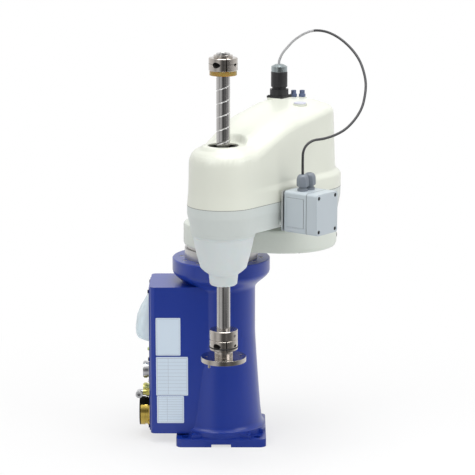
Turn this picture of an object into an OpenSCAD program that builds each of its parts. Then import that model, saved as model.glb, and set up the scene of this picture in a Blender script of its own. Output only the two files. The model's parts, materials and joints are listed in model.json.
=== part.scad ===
// Four-axis SCARA robot: column base, two arms, ball screw spline shaft.
// Millimetres, +Z up. Origin: shoulder axis at the underside of the base.
// The pose is the one at rest: arm 1 along +X, arm 2 turned by rest_elbow.

/* [Arms] */
// Distance from the shoulder axis to the elbow axis
arm1_l = 125; // [122:1:140]
// Distance from the elbow axis to the shaft axis
arm2_l = 225; // [215:1:245]
// Radius of arm 1 at the shoulder
shoulder_r = 73; // [72:0.5:78]
// Radius of arm 1 at the elbow
elbow_r = 99.5; // [94:0.5:104]
// Height of arm 1
arm1_h = 44.5; // [38:0.5:60]
// Height of the lower casting of arm 2
arm2_h = 50; // [48:1:70]
// Radius of the front end of arm 2
front_r = 67; // [65:1:72]
// Radius of the rear end of arm 2
rear_r = 96; // [92:1:104]
// How far the rear end's centre lies behind the elbow axis
rear_back = 20; // [12:1:30]
// Angle of arm 2 from arm 1 at rest
rest_elbow = -122; // [-130:1:-110]
// Gap between the base flange and arm 1
shoulder_gap = 26; // [22:0.5:36]
// Gap between arm 1 and arm 2
elbow_gap = 20.5; // [18:0.5:30]

/* [Base] */
// Width of the square foot plate
plate_w = 175; // [175:1:200]
// Thickness of the foot plate
plate_t = 16; // [14:1:18]
// Spacing of the four foot bolts
bolt_pitch = 140; // [136:1:144]
// Diameter of the foot bolt holes
bolt_d = 14; // [10:0.5:16]
// Height of the base up to the top flange
base_h = 361; // [345:1:400]
// Radius of the top flange
flange_r = 95; // [90:1:100]
// Radius of the column just above its foot
foot_r = 77; // [74:1:79]
// Radius of the column at its waist
waist_r = 66.5; // [65:0.5:70]
// How far the connector box reaches behind the shoulder axis
box_reach = 138; // [125:1:138]
// Width of the connector box
box_w = 122; // [112:1:122]
// How far the connector box's top lies below the top flange's face
box_drop = 48; // [44:1:60]

/* [Cover] */
// Height of the upper cover's edge above the split, at the front
cover_front_h = 96; // [94:1:105]
// Height of the upper cover's edge above the split, at the rear
cover_rear_h = 155; // [150:1:175]
// Height of the crown above that edge
crown = 10; // [4:1:14]
// Wall of the moulded covers
wall = 3; // [2:0.5:4]
// Height of the skirt round the rear of the cover
skirt_h = 23; // [15:1:30]
// Height of the funnel cover below arm 2
funnel_h = 97; // [90:1:105]

/* [Shaft] */
// Diameter of the ball screw spline shaft
shaft_d = 25; // [20:1:26]
// Diameter of the bore through the shaft
shaft_bore = 14; // [8:1:16]
// Travel of the shaft up from rest
travel_up = 83; // [70:1:90]
// Travel of the shaft down from rest
travel_down = 117; // [100:1:125]
// Radius of the tool flange
tool_r = 42.3; // [38:0.1:42.3]
// Thickness of the tool flange
tool_t = 9; // [6:0.5:12]
// Circle of the tool flange's bolts
tool_pcd = 66; // [58:1:70]
// Diameter of the tool flange's bolt holes
tool_hole = 5.5; // [4:0.5:7]
// Radius of the stopper collars
collar_r = 26.5; // [24:0.5:26.5]

/* [Junction box] */
// Width of the box along the arm
jb_w = 64; // [56:1:72]
// Depth of the box with its lid
jb_d = 75; // [60:1:90]
// Height of the box
jb_h = 77; // [65:1:85]
// Thickness of the lid
jb_lid = 24.5; // [16:0.5:30]

/* [Hidden] */
$fn = 64;

// Fits and clearances
run_fit = 0.05;
seat_fit = 0.02;
part_gap = 0.3;
stop_gap = 2.5;
bumper_gap = 5;
eps = 0.5;

// Heights of the stacked castings
z_arm1 = base_h + shoulder_gap;
z_arm1_top = z_arm1 + arm1_h;
z_arm2 = z_arm1_top + elbow_gap;
z_split = z_arm2 + arm2_h;
boss_h = 5;
z_boss = z_arm2 - boss_h;
z_neck = z_boss - funnel_h;
tray_floor = 20;
z_tray = z_arm2 + tray_floor;

// Base details
plate_r = 12;
web_h = 8;
web_w = plate_w - 3;
pad_x = 57;
pad_y = 46;
foot_edge_r = 87;
fillet_h = 14;
z_fillet = plate_t + web_h + 3;
z_taper = 60;
z_waist = 215;
flare_h = 35;
rim_h = 24;
box_z = 20;
box_h = base_h - box_drop - box_z;
box_edge = 10;
cavity_r = 52;
cavity_z = 24;
motor_seat_r = 60;
z_seat = base_h - 25;
panel_t = 2;
panel_x = -box_reach;
panel_w = box_w - 26;
panel_z = box_z + 2;
panel_h = box_h - 6;
pocket_in = 6;
pocket_w = 76;
pocket_depth = 66;
bolt_ring_r = 77;
bolt_count = 12;
counterbore = [4.6, 5.5];

// Connectors on the rear panel: place across and up the panel
power_at = [0, 49];
encoder_at = [0, 133];
io_at = [14, 90];
elbow_at = [-16, 91];
air_plug_at = [-12, 178];
bag_z = panel_z + panel_h - 90;
bag_h = 62;

// Shoulder and elbow drives
ring_r = 71;
ring_h = 19.6;
elbow_ring_r = 66;
elbow_ring_h = 14.4;
hub_r = 45;
flange_gap = 0.4;
motor_w = 60;
j1_motor_l = 150;
j2_motor_l = 112;
z_motor_l = 64;
t_motor_l = 55;
t_gear_l = 34;

// Arm 1: cover under the elbow, and rounding of its edges as height and inset
cover_plate_t = 6.6;
cover_plate_x = arm1_l - 10;
cover_inset = 1.5;
arm1_pocket = [87, 48];
arm1_edge = [[0, 4], [1.5, 1.4], [5, 0]];

// Cover outline
front_draft = 3.5;
rear_draft = 15;
rear_ledge = 4.5;
front_round = 24;
rear_round = 14;
crown_power = 4;
rise_start = arm2_l + 40;
rise_end = 60;
rear_lift = 9;
arc_front = 20;
arc_rear = 24;
side_steps = 7;
lip_h = 8;
lip_gap = 1.6;
tray_wall = [12, 14];

// Lower casting: height above arm 2's underside and inset of the front and rear radius
arm2_profile = [[0, 6.5, 6.5], [10, 4.7, 4.4], [20, 2.7, 2.4], [30, 0.7, 0.4], [35, 0, 0.1]];

// Funnel cover: radius and height below its top edge
funnel_profile = [
    [58.5, 0], [58.5, 3.5], [56.8, 5], [56, 11], [52.7, 26], [48.8, 41], [44, 52], [38.5, 62],
    [31, 70], [26.5, 75], [25.7, 78]
];
funnel_wall = 3.4;
neck_in = 3;
funnel_drawn_h = 97;

// Shaft stack, from the neck down and from the cover up
r_shaft = shaft_d / 2;
hole_r = 28.5;
low_stop_h = 18.5;
clamp_h = 20;
hub_h = 13.5;
tool_hub_r = 17.4;
z_low_stop = z_neck - travel_up - stop_gap - low_stop_h;
z_clamp = z_low_stop - clamp_h;
z_tool = z_clamp - hub_h;
z_hole = z_split + cover_front_h + crown + 11.6;
z_bumper = z_hole + travel_down + bumper_gap;
bumper_h = 8.4;
bumper_r = collar_r - 1.5;
stopper_h = 23.5;
z_end_ring = z_bumper + bumper_h + stopper_h;
end_ring_h = 4.9;
end_ring_r = 17.5;
z_shaft_top = z_end_ring + end_ring_h + 3.3;
z_shaft_low = z_tool - tool_t + 3;
groove_r = 1.6;
collar_groove = [0.8, 4.7];
slit_angle = 18;
clamp_bolt_at = [19, 5.2, 2.7];

// Nuts, bearings, pulleys and belts
nut_r = 20;
spline_top_r = 24;
screw_r = 21;
neck_nut_r = 16;
bearing_r = 37;
bearing_h = 18;
ledge_r = 30;
ledge_h = 2;
tooth_pitch = 5;
big_teeth = 40;
small_teeth = 20;
tooth_r = 1.3;
tooth_end = 0.3;
big_r = big_teeth * tooth_pitch / (2 * PI) - 0.6;
small_r = small_teeth * tooth_pitch / (2 * PI) - 0.6;
pulley_flange = 1.2;
belt_w = 14;
belt_t = 2.2;
belt_gap = 0.3;
z_t_belt = z_tray + 7;
z_z_belt = z_split + 24;
z_bridge = z_split + 48;
bridge_h = 22;
bridge_r = 50;
bridge_post = [43.5, 5.5];
z_motor_at = [arm2_l - 115, 30];
t_motor_at = [arm2_l - 120, -30];
t_motor_w = 40;
z_plate = z_z_belt + belt_w + 4;
t_plate = z_t_belt + belt_w + 4;
bracket_t = 4;
motor_shaft_r = 7;

// Junction box on the side of arm 2, measured from the front tangent point
jb_along = 79;
jb_off = 14;
jb_z = z_arm2 - 4;
jb_wall = 3;
jb_edge = 5;
jb_body = jb_d - jb_lid;
lean0 = asin((rear_r - front_r) / (arm2_l + rear_back));
bracket_off = 4;
jb_plate_t = 4;
jb_screw_in = 7;
gland_off = 26;
gland_x = [42.5, 21];
gland_r = 8;
gland_hex = 19.6 / sqrt(3);
gland_h = 31;

// Items on top of the cover, in arm 2's frame
plug_at = [-36, -37];
cap_at = [7, 35];
fitting_at = [[-66, -22], [-75, -8]];
z_pad = z_split + cover_rear_h + crown;
z_low_pad = z_pad - 2;
pad_r = [23.5, 13, 9];
stub_r = 14;
cap_r = 10.5;
tap_r = 3.5;
receptacle_h = 20;
plug_h = 30;
plug_clamp_h = 14;

// Signal cable: diameter, and its route in arm 2's frame above the split line
cable_d = 4.8;
cable_sides = 8;
cable_route = [
    [-36, -37, 229], [-36, -37, 236], [-38, -31, 250], [-41, -21, 263], [-45, -8, 277],
    [-48, 14, 291], [-51, 35, 297], [-53, 60, 295], [-53, 86, 285], [-49, 112, 269],
    [-42, 134, 250], [-32, 150, 230], [-20, 162, 208], [-4, 169, 186], [14, 172, 165],
    [35, 169, 146], [57, 162, 131], [78, 152, 122], [98, 140, 117], [115, 128, 115],
    [128, 121, 108], [136, 118, 96], [138, 118, 80], [138, 118, 66], [138, 118, 54]
];

// Colours
blue = [0.12, 0.18, 0.55];
cream = [0.93, 0.92, 0.86];
funnel_white = [0.88, 0.91, 0.92];
steel = [0.62, 0.61, 0.60];
dark_steel = [0.35, 0.35, 0.36];
black = [0.08, 0.08, 0.09];
brass = [0.78, 0.62, 0.25];
zinc = [0.72, 0.70, 0.35];
box_grey = [0.72, 0.76, 0.80];
gland_grey = [0.50, 0.54, 0.62];
amber = [0.75, 0.45, 0.15];

// Frames

module at_elbow() {
    translate([arm1_l, 0, 0]) children();
}

module at_arm2() {
    at_elbow() rotate([0, 0, rest_elbow]) children();
}

module at_shaft() {
    at_arm2() translate([arm2_l, 0, 0]) children();
}

// On the rear panel's outer face, with Z pointing out of it
module on_panel(place) {
    translate([panel_x - panel_t, place[0], place[1]]) rotate([0, -90, 0]) children();
}

// The junction box's frame: X along the arm to the front, Y away from its side
module at_box() {
    at_arm2() translate([arm2_l + front_r * sin(lean0), front_r * cos(lean0), 0])
        rotate([0, 0, -lean0]) translate([-jb_along - jb_w, jb_off, 0]) children();
}

// Upright slab in the box's frame, from its back at y0 outwards
module jb_slab(w, h, r, y0, depth) {
    translate([jb_w / 2, y0, jb_z + jb_h / 2]) rotate([-90, 0, 0]) block(w, h, r, depth);
}

// Plain forms

module rounded_square(w, d, r) {
    square([w - 2 * r, d], center = true);
    square([w, d - 2 * r], center = true);
    for (x = [-1, 1], y = [-1, 1]) translate([x * (w / 2 - r), y * (d / 2 - r)]) circle(r);
}

module block(w, d, r, h) {
    linear_extrude(h) rounded_square(w, d, r);
}

module ring(ro, ri, h) {
    linear_extrude(h) difference() {
        circle(ro);
        circle(ri);
    }
}

module around(n, r, start = 0) {
    for (i = [0:n - 1]) rotate([0, 0, start + i * 360 / n]) translate([r, 0, 0]) children();
}

// Outline round two circles, of radius ra at [0, 0] and rb at [len, 0]
module tangent_pair(ra, rb, len) {
    hull() {
        circle(ra);
        translate([len, 0]) circle(rb);
    }
}

module arm2_plan(rf, rr) {
    translate([-rear_back, 0]) tangent_pair(rr, rf, arm2_l + rear_back);
}

module socket_screw(r, head_h, len, socket_r) {
    difference() {
        union() {
            cylinder(r = r, h = head_h);
            translate([0, 0, -len]) cylinder(r = r * 0.55, h = len + eps);
        }
        translate([0, 0, head_h * 0.4]) cylinder(r = socket_r, h = head_h, $fn = 6);
    }
}

// Square servo motor standing on its flange; a shaft of length 0 leaves its bearing hole
module servo(w, len, shaft_r, shaft_len) {
    flange_t = 7;
    end_h = 22;
    difference() {
        union() {
            block(w, w, 4, flange_t);
            translate([0, 0, flange_t]) block(w - 4, w - 4, 8, len - flange_t - end_h);
            translate([0, 0, len - end_h]) block(w, w, 6, end_h);
            translate([w / 2 + 2, 0, len - 14]) cube([8, 14, 10], center = true);
        }
        for (x = [-1, 1], y = [-1, 1]) translate([x * (w / 2 - 5), y * (w / 2 - 5), -eps])
            cylinder(r = 2.3, h = flange_t);
        if (shaft_len == 0) translate([0, 0, -eps]) cylinder(r = shaft_r + run_fit, h = flange_t + 8);
    }
    if (shaft_len > 0) translate([0, 0, -shaft_len]) cylinder(r = shaft_r, h = shaft_len + eps);
}

module pulley(teeth, r, bore_r) {
    difference() {
        union() {
            cylinder(r = r, h = belt_w);
            translate([0, 0, -pulley_flange]) cylinder(r = r + 1.6, h = pulley_flange);
            translate([0, 0, belt_w]) cylinder(r = r + 1.6, h = pulley_flange);
        }
        around(teeth, r + tooth_r * 0.3) translate([0, 0, tooth_end])
            cylinder(r = tooth_r, h = belt_w - 2 * tooth_end, $fn = 16);
        if (bore_r > 0) translate([0, 0, -3]) cylinder(r = bore_r, h = belt_w + 6);
    }
}

// Belt round two pulleys, from [0, 0] with radius ra to the point at with radius rb
module belt(at, ra, rb) {
    len = norm(at);
    rotate([0, 0, atan2(at[1], at[0])]) linear_extrude(belt_w - 1) difference() {
        tangent_pair(ra + belt_gap + belt_t, rb + belt_gap + belt_t, len);
        tangent_pair(ra + belt_gap, rb + belt_gap, len);
    }
}

// Lofts through outlines made of two arcs and their tangents

function ease(t) = let (s = min(max(t, 0), 1)) s * s * (3 - 2 * s);

// Stations round an outline: share of the way to the second end, and angle of the normal
function stations(a) = concat(
    [for (i = [0:arc_front]) [0, -(90 - a) + i * 2 * (90 - a) / arc_front]],
    [for (i = [1:side_steps]) [i / (side_steps + 1), 90 - a]],
    [for (i = [0:arc_rear]) [1, 90 - a + i * 2 * (90 + a) / arc_rear]],
    [for (i = [side_steps:-1:1]) [i / (side_steps + 1), -(90 - a)]]
);

// Points of the outline with centres at c0 and c1 and radii r0 and r1, and their share
function outline(c0, c1, r0, r1, keep = 1) = [
    for (s = stations(asin((r1 - r0) / (c0 - c1))))
        let (r = (r0 + s[0] * (r1 - r0)) * keep)
        [c0 - s[0] * (c0 - c1) + r * cos(s[1]), r * sin(s[1]), s[0]]
];

function level(points, z) = [for (p = points) [p[0], p[1], z]];

function reversed(list) = [for (i = [len(list) - 1:-1:0]) list[i]];

function skin_faces(rows, n) = [
    for (k = [0:rows - 2], i = [0:n - 1])
        let (a = k * n + i, b = k * n + (i + 1) % n, c = a + n, d = b + n)
        each [[a, c, b], [b, c, d]]
];

// Lid of a ring: quads across it from the tip of its first arc to the tip of its second
function lid_faces(first, n) = let (tip = arc_front / 2) [
    for (j = [0:n / 2 - 1])
        let (
            a = first + (tip + j) % n,
            b = first + (tip + j + 1) % n,
            c = first + (tip - j - 1 + n) % n,
            d = first + (tip - j + n) % n
        )
        j == 0 ? [a, b, c] : j == n / 2 - 1 ? [a, b, d] : [a, b, c, d]
];

function turned(faces) = [for (f = faces) reversed(f)];

module loft(rings) {
    n = len(rings[0]);
    rows = len(rings);
    polyhedron(
        [for (r = rings) each r],
        concat(skin_faces(rows, n), lid_faces(0, n), turned(lid_faces((rows - 1) * n, n)))
    );
}

// A closed wall between an outer and an inner loft that share their open lower rim
module shell(outer, inner) {
    rings = concat(reversed(outer), inner);
    n = len(rings[0]);
    rows = len(rings);
    polyhedron(
        [for (r = rings) each r],
        concat(turned(skin_faces(rows, n)), turned(lid_faces(0, n)), lid_faces((rows - 1) * n, n))
    );
}

// Round tube swept along a list of points
function catmull(a, b, c, d, t) = 0.5 * (2 * b + (c - a) * t
    + (2 * a - 5 * b + 4 * c - d) * t * t + (3 * b - 3 * c + d - a) * t * t * t);

function smooth_route(p, steps) = concat(
    [
        for (i = [0:len(p) - 2], s = [0:steps - 1])
            catmull(p[max(i - 1, 0)], p[i], p[i + 1], p[min(i + 2, len(p) - 1)], s / steps)
    ],
    [p[len(p) - 1]]
);

function unit(v) = v / norm(v);

function tube_ring(p, along, r, sides, side_hint) = let (
    a = unit(cross(along, side_hint)),
    b = cross(unit(along), a)
) [for (i = [0:sides - 1]) p + r * (cos(i * 360 / sides) * a + sin(i * 360 / sides) * b)];

module tube(route, r, sides, side_hint) {
    n = len(route);
    rings = [
        for (i = [0:n - 1])
            let (along = i == 0 || i == 1 ? route[1] - route[0]
                : i == n - 1 ? route[n - 1] - route[n - 2] : route[i + 1] - route[i - 1])
            tube_ring(route[i], along, r, sides, side_hint)
    ];
    polyhedron(
        [for (q = rings) each q],
        concat(
            turned(skin_faces(n, sides)),
            [reversed([for (i = [0:sides - 1]) i])],
            [[for (i = [0:sides - 1]) (n - 1) * sides + i]]
        )
    );
}

// Base

function column_profile() = concat(
    [[0, plate_t - eps], [foot_edge_r, plate_t - eps]],
    [
        for (t = [0:15:90])
            [foot_edge_r - (foot_edge_r - foot_r - 2.5) * sin(t), z_fillet + fillet_h * (1 - cos(t))]
    ],
    [
        for (t = [0:1 / 6:1.001])
            [waist_r + (foot_r - waist_r) * pow(max(1 - t, 0), 1.15), z_taper + t * (z_waist - z_taper)]
    ],
    [
        for (t = [0:1 / 8:1.001])
            [waist_r + (flange_r - waist_r) * ease(t), base_h - rim_h - flare_h + t * flare_h]
    ],
    [[flange_r, base_h - 1.5], [flange_r - 1.5, base_h], [0, base_h]]
);

module foot_web() {
    translate([0, 0, plate_t - eps]) linear_extrude(web_h + eps) difference() {
        square([web_w, web_w], center = true);
        for (a = [0:90:270]) rotate(a) translate([plate_w / 2 + 157.5, 0]) circle(170, $fn = 128);
        for (x = [-1, 1], y = [-1, 1]) translate([x * (pad_x + 25), y * (pad_y + 25)])
            square([50, 50], center = true);
    }
}

module rear_box() {
    half = box_w / 2;
    translate([0, 0, box_z]) linear_extrude(box_h) {
        translate([-box_reach + box_edge, -half]) square([box_reach - box_edge, box_w]);
        translate([-box_reach, -half + box_edge]) square([box_edge + eps, box_w - 2 * box_edge]);
        for (y = [-1, 1]) translate([-box_reach + box_edge, y * (half - box_edge)]) circle(box_edge);
    }
}

module base_casting() color(blue) difference() {
    union() {
        block(plate_w, plate_w, plate_r, plate_t);
        foot_web();
        rotate_extrude($fn = 128) polygon(column_profile());
        rear_box();
    }
    for (x = [-1, 1], y = [-1, 1]) translate([x * bolt_pitch / 2, y * bolt_pitch / 2, -eps])
        cylinder(r = bolt_d / 2, h = plate_t + 2 * eps);
    translate([-19, -plate_w, -eps]) cube([38, 2 * plate_w, 5.5 + eps]);
    translate([pad_x - 6, -plate_w / 2 + 9, 8]) cylinder(r = 2.5, h = plate_t + web_h);
    translate([0, 0, cavity_z]) cylinder(r = cavity_r, h = base_h);
    translate([0, 0, z_seat]) cylinder(r = motor_seat_r, h = base_h);
    translate([panel_x - eps, -pocket_w / 2, panel_z + pocket_in])
        cube([pocket_depth, pocket_w, panel_h - 2 * pocket_in]);
    around(bolt_count, bolt_ring_r, 25) translate([0, 0, base_h - counterbore[1]]) {
        cylinder(r = counterbore[0], h = counterbore[1] + eps);
        translate([0, 0, -12]) cylinder(r = 2.5, h = 13);
    }
    for (place = panel_screw_places()) on_panel(place) translate([0, 0, -panel_t - 8])
        cylinder(r = 1.8, h = 9);
}

// Places of the panel's screws, across and up
function panel_screw_places() = [
    for (y = [-1, 1], z = [0, 0.5, 1]) [y * (panel_w / 2 - 5), panel_z + 8 + z * (panel_h - 16)]
];

module connector_panel() color(blue) difference() {
    on_panel([0, panel_z + panel_h / 2]) translate([0, 0, -panel_t]) block(panel_h, panel_w, 4, panel_t);
    for (p = [[power_at, 20.5], [encoder_at, 15], [io_at, 9], [elbow_at, 5], [air_plug_at, 4]])
        on_panel(p[0]) translate([0, 0, -panel_t - eps]) cylinder(r = p[1], h = panel_t + 2 * eps);
    for (place = panel_screw_places()) on_panel(place) translate([0, 0, -panel_t - eps])
        cylinder(r = 2, h = panel_t + 2 * eps);
}

module panel_screws() color(dark_steel) {
    for (place = panel_screw_places()) on_panel(place) difference() {
        union() {
            cylinder(r = 3.4, h = 2.3);
            translate([0, 0, -7]) cylinder(r = 1.75, h = 7.5);
        }
        translate([0, 0, 1]) cylinder(r = 1.5, h = 3, $fn = 6);
    }
}

module power_connector() color(brass) on_panel(power_at) difference() {
    union() {
        translate([0, 0, -16]) cylinder(r = 20.4, h = 17);
        block(50, 52, 7, 3);
        cylinder(r = 25, h = 16);
        translate([0, 0, 5]) cylinder(r = 27, h = 4);
        for (x = [-1, 1], y = [-1, 1]) translate([x * 20.5, y * 21.5, 0]) cylinder(r = 3, h = 4.5);
    }
    translate([0, 0, 4]) cylinder(r = 22, h = 20);
}

module power_cap() color(black) on_panel(power_at) difference() {
    union() {
        translate([0, 0, 10]) ring(28, 25.3, 11);
        translate([0, 0, 16.3]) cylinder(r = 27, h = 5);
    }
    translate([0, 0, 20]) ring(22, 19, 3);
}

module encoder_connector() color(steel) on_panel(encoder_at) {
    difference() {
        union() {
            translate([0, 0, -14]) cylinder(r = 14.9, h = 15);
            block(46, 40, 4, 2.5);
            cylinder(r = 15.5, h = 14);
            translate([0, 0, 6]) cylinder(r = 17, h = 6);
            for (x = [-1, 1], y = [-1, 1]) translate([x * 19, y * 16, 0]) cylinder(r = 2.4, h = 4);
        }
        translate([0, 0, 5]) cylinder(r = 12.5, h = 12);
    }
    around(6, 7) translate([0, 0, 4.5]) cylinder(r = 0.9, h = 6);
}

module io_connector() color(zinc) {
    on_panel(io_at) difference() {
        union() {
            translate([0, 0, -12]) cylinder(r = 8.9, h = 13);
            cylinder(r = 13.5, h = 3, $fn = 6);
            cylinder(r = 10, h = 15);
            translate([0, 0, 7]) cylinder(r = 11.5, h = 6);
        }
        translate([0, 0, 6]) cylinder(r = 8, h = 12);
    }
    on_panel(air_plug_at) {
        translate([0, 0, -8]) cylinder(r = 3.9, h = 9);
        cylinder(r = 4.6, h = 2);
        cylinder(r = 3, h = 4.5);
    }
}

module elbow_fitting() color(steel) on_panel(elbow_at) {
    translate([0, 0, -8]) cylinder(r = 4.9, h = 9);
    cylinder(r = 8.5, h = 8, $fn = 6);
    cylinder(r = 6, h = 21);
    translate([0, 0, 21]) sphere(6);
    translate([0, 0, 21]) rotate([90, 0, 0]) cylinder(r = 6, h = 12);
    translate([0, -12, 21]) rotate([90, 0, 0]) ring(7, 3.2, 7);
}

module dust_bag() color([0.55, 0.62, 0.80]) intersection() {
    hull() {
        for (y = [-1, 1]) {
            translate([panel_x - 19.5, y * 18, bag_z]) sphere(5, $fn = 24);
            translate([panel_x - 12, y * 17, bag_z + bag_h / 2]) sphere(6, $fn = 24);
            translate([panel_x - 4.5, y * 12, bag_z + bag_h]) sphere(3, $fn = 24);
            translate([panel_x - 5, y * 21, bag_z + 1]) sphere(5, $fn = 24);
        }
        translate([panel_x - 22.5, 0, bag_z + 1]) sphere(5, $fn = 24);
    }
    translate([panel_x - panel_t - part_gap - 60, -40, bag_z - 20]) cube([60, 80, bag_h + 40]);
}

module flange_bolts() color(dark_steel) {
    around(bolt_count, bolt_ring_r, 25) translate([0, 0, base_h - counterbore[1]])
        socket_screw(4.25, 5, 11, 2);
}

module j1_motor() color(dark_steel) translate([0, 0, z_seat]) mirror([0, 0, 1])
    servo(motor_w, j1_motor_l, 8, base_h - z_seat);

module j1_motor_plate() color(steel) translate([0, 0, z_seat]) ring(motor_seat_r - run_fit, 12, 8);

module j1_reducer() color(steel) translate([0, 0, base_h]) difference() {
    cylinder(r = ring_r, h = ring_h, $fn = 96);
    translate([0, 0, -eps]) cylinder(r = hub_r + run_fit, h = ring_h + 2 * eps);
    around(bolt_count, 62) translate([0, 0, ring_h - 3]) cylinder(r = 2.6, h = 4);
}

// Arm 1

module arm1_form(inset) {
    low = [for (e = arm1_edge) [z_arm1 + e[0], e[1]]];
    high = [for (e = reversed(arm1_edge)) [z_arm1_top - e[0], e[1]]];
    loft([
        for (e = concat(low, high))
            level(outline(arm1_l, 0, elbow_r - e[1] - inset, shoulder_r - e[1] - inset), e[0])
    ]);
}

module arm1_casting() color(cream) difference() {
    arm1_form(0);
    translate([cover_plate_x, -elbow_r - 10, z_arm1 - 5])
        cube([2 * elbow_r, 2 * elbow_r + 20, cover_plate_t + 5]);
    intersection() {
        at_elbow() translate([0, 0, z_arm1 + cover_plate_t - eps])
            ring(elbow_r - 12, arm1_pocket[1], arm1_h - cover_plate_t - 8);
        translate([cover_plate_x + 12, -elbow_r, z_arm1])
            cube([2 * elbow_r, 2 * elbow_r, arm1_h]);
    }
    arm1_screw_places() translate([0, 0, z_arm1 + cover_plate_t - eps]) cylinder(r = 1.85, h = 12);
    end_plug_place() cylinder(r = 4.05, h = 8, center = true);
}

module arm1_screw_places() {
    at_elbow() for (a = [-75, -30, 30, 75]) rotate([0, 0, a]) translate([elbow_r - 7.5, 0, 0]) children();
}

module end_plug_place() {
    at_elbow() translate([elbow_r, 0, z_arm1 + 18]) rotate([0, 90, 0]) children();
}

module arm1_bottom_cover() color(cream) difference() {
    intersection() {
        arm1_form(cover_inset);
        translate([cover_plate_x + part_gap, -elbow_r, z_arm1 - 1])
            cube([2 * elbow_r, 2 * elbow_r, cover_plate_t + 1]);
    }
    arm1_screw_places() translate([0, 0, z_arm1 - eps]) {
        cylinder(r = 3.6, h = 3);
        cylinder(r = 2, h = cover_plate_t + 1);
    }
}

module arm1_screws() color(dark_steel) {
    arm1_screw_places() translate([0, 0, z_arm1 + 2.5]) mirror([0, 0, 1]) socket_screw(3.3, 2, 12, 1.5);
    end_plug_place() difference() {
        translate([0, 0, -3.8]) cylinder(r = 4, h = 4.4);
        cylinder(r = 2, h = 3, $fn = 6);
    }
}

module j1_output_flange() color(steel) {
    translate([0, 0, base_h + ring_h + flange_gap])
        cylinder(r = ring_r - 5, h = shoulder_gap - ring_h - flange_gap, $fn = 96);
    translate([0, 0, base_h + 5]) cylinder(r = hub_r, h = ring_h - 4);
}

module j2_output_flange() color(steel) at_elbow() {
    translate([0, 0, z_arm1_top])
        cylinder(r = elbow_ring_r - 5, h = elbow_gap - elbow_ring_h - flange_gap, $fn = 96);
    translate([0, 0, z_arm2 - elbow_ring_h - 1]) cylinder(r = hub_r, h = elbow_ring_h - 2);
}

// Arm 2

module arm2_body() {
    loft(concat(
        [
            for (e = arm2_profile)
                level(outline(arm2_l, -rear_back, front_r - e[1], rear_r + 0.5 - e[2]), z_arm2 + e[0])
        ],
        [level(outline(arm2_l, -rear_back, front_r, rear_r + 1), z_split)]
    ));
}

module cover_screw_places() {
    for (x = [-60, -175])
        translate([arm2_l + front_r * sin(lean0), -front_r * cos(lean0), z_split + lip_h / 2])
            rotate([0, 0, lean0]) translate([x, 0, 0]) rotate([90, 0, 0]) children();
    for (a = [150, 210])
        translate([-rear_back, 0, z_split + lip_h / 2]) rotate([0, 0, a])
            translate([rear_r + 1, 0, 0]) rotate([0, 90, 0]) children();
}

module arm2_casting() color(cream) difference() {
    union() {
        at_arm2() {
            arm2_body();
            translate([0, 0, z_split - 1]) linear_extrude(lip_h + 1)
                arm2_plan(front_r - wall - lip_gap, rear_r + 1 - wall - lip_gap);
        }
        at_shaft() translate([0, 0, z_boss]) cylinder(r = front_r - 7, h = boss_h + eps);
        at_box() for (x = [14, jb_w - 14], z = [z_arm2 + 10, z_arm2 + 40])
            translate([x, -bracket_off - jb_plate_t, z]) rotate([90, 0, 0]) cylinder(r = 6, h = 16);
    }
    at_arm2() {
        translate([0, 0, z_tray]) linear_extrude(arm2_h)
            arm2_plan(front_r - tray_wall[0], rear_r - tray_wall[1]);
        translate([0, 0, z_arm2 - 5]) cylinder(r = 12, h = arm2_h);
        cover_screw_places() cylinder(r = 1.6, h = 24, center = true);
    }
    at_shaft() {
        translate([0, 0, z_arm2]) cylinder(r = bearing_r + seat_fit, h = arm2_h);
        translate([0, 0, z_boss - eps]) cylinder(r = ledge_r, h = arm2_h);
    }
}

// Height of the cover's edge above the split line, at the distance u from the elbow axis
function edge_h(u) = cover_front_h
    + (cover_rear_h - cover_front_h - rear_lift) * ease((rise_start - u) / (rise_start - rise_end))
    + rear_lift * min(max((rise_end - u) / (rise_end + rear_back), 0), 1);

// Ring of the cover: end radii, share of the radius kept, plain height, share that the
// edge height takes, how far it lies below the edge at both ends, and lift
function cover_ring(rf, rr, keep, base, share, drop, lift) = [
    for (p = outline(arm2_l, -rear_back, rf, rr, keep))
        let (d = drop[0] + p[2] * (drop[1] - drop[0]))
        [p[0], p[1], base * (1 - share) + (edge_h(p[0]) - d) * share + lift]
];

// Rings of the cover from the split line up, all offset inwards by off
function cover_rings(off) = let (
    rf = front_r - off,
    rr = rear_r + 1 - off,
    rb = rear_r - rear_draft + rear_ledge - off,
    fr = front_round - off,
    rd = rear_round - off,
    skirt = [[0, 0, 0], [-1, 2, 0], [4, 2.2, 3], [8, 2.4, 8]]
) concat(
    [
        for (s = skirt)
            cover_ring(rf - s[1], rr - s[2], 1, s[0] == 0 ? 0 : skirt_h + s[0], 0, [0, 0], 0)
    ],
    [
        cover_ring(rf - 2.6, rb, 1, skirt_h + 13, 0, [0, 0], 0),
        cover_ring(rf - 3, rb - 2, 1, skirt_h + 13, 0.5, [front_round, rear_round], 0)
    ],
    [
        for (f = [0:18:90])
            cover_ring(rf - front_draft - fr * (1 - cos(f)), rb - 4 - rd * (1 - cos(f)), 1, 0, 1,
                       [fr * (1 - sin(f)) + off, rd * (1 - sin(f)) + off], 0)
    ],
    [
        for (w = [0.2, 0.45, 0.7, 0.9])
            cover_ring(rf - front_draft - fr, rb - 4 - rd, 1 - w, 0, 1, [off, off],
                       crown * (1 - pow(1 - w, crown_power)))
    ]
);

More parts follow.
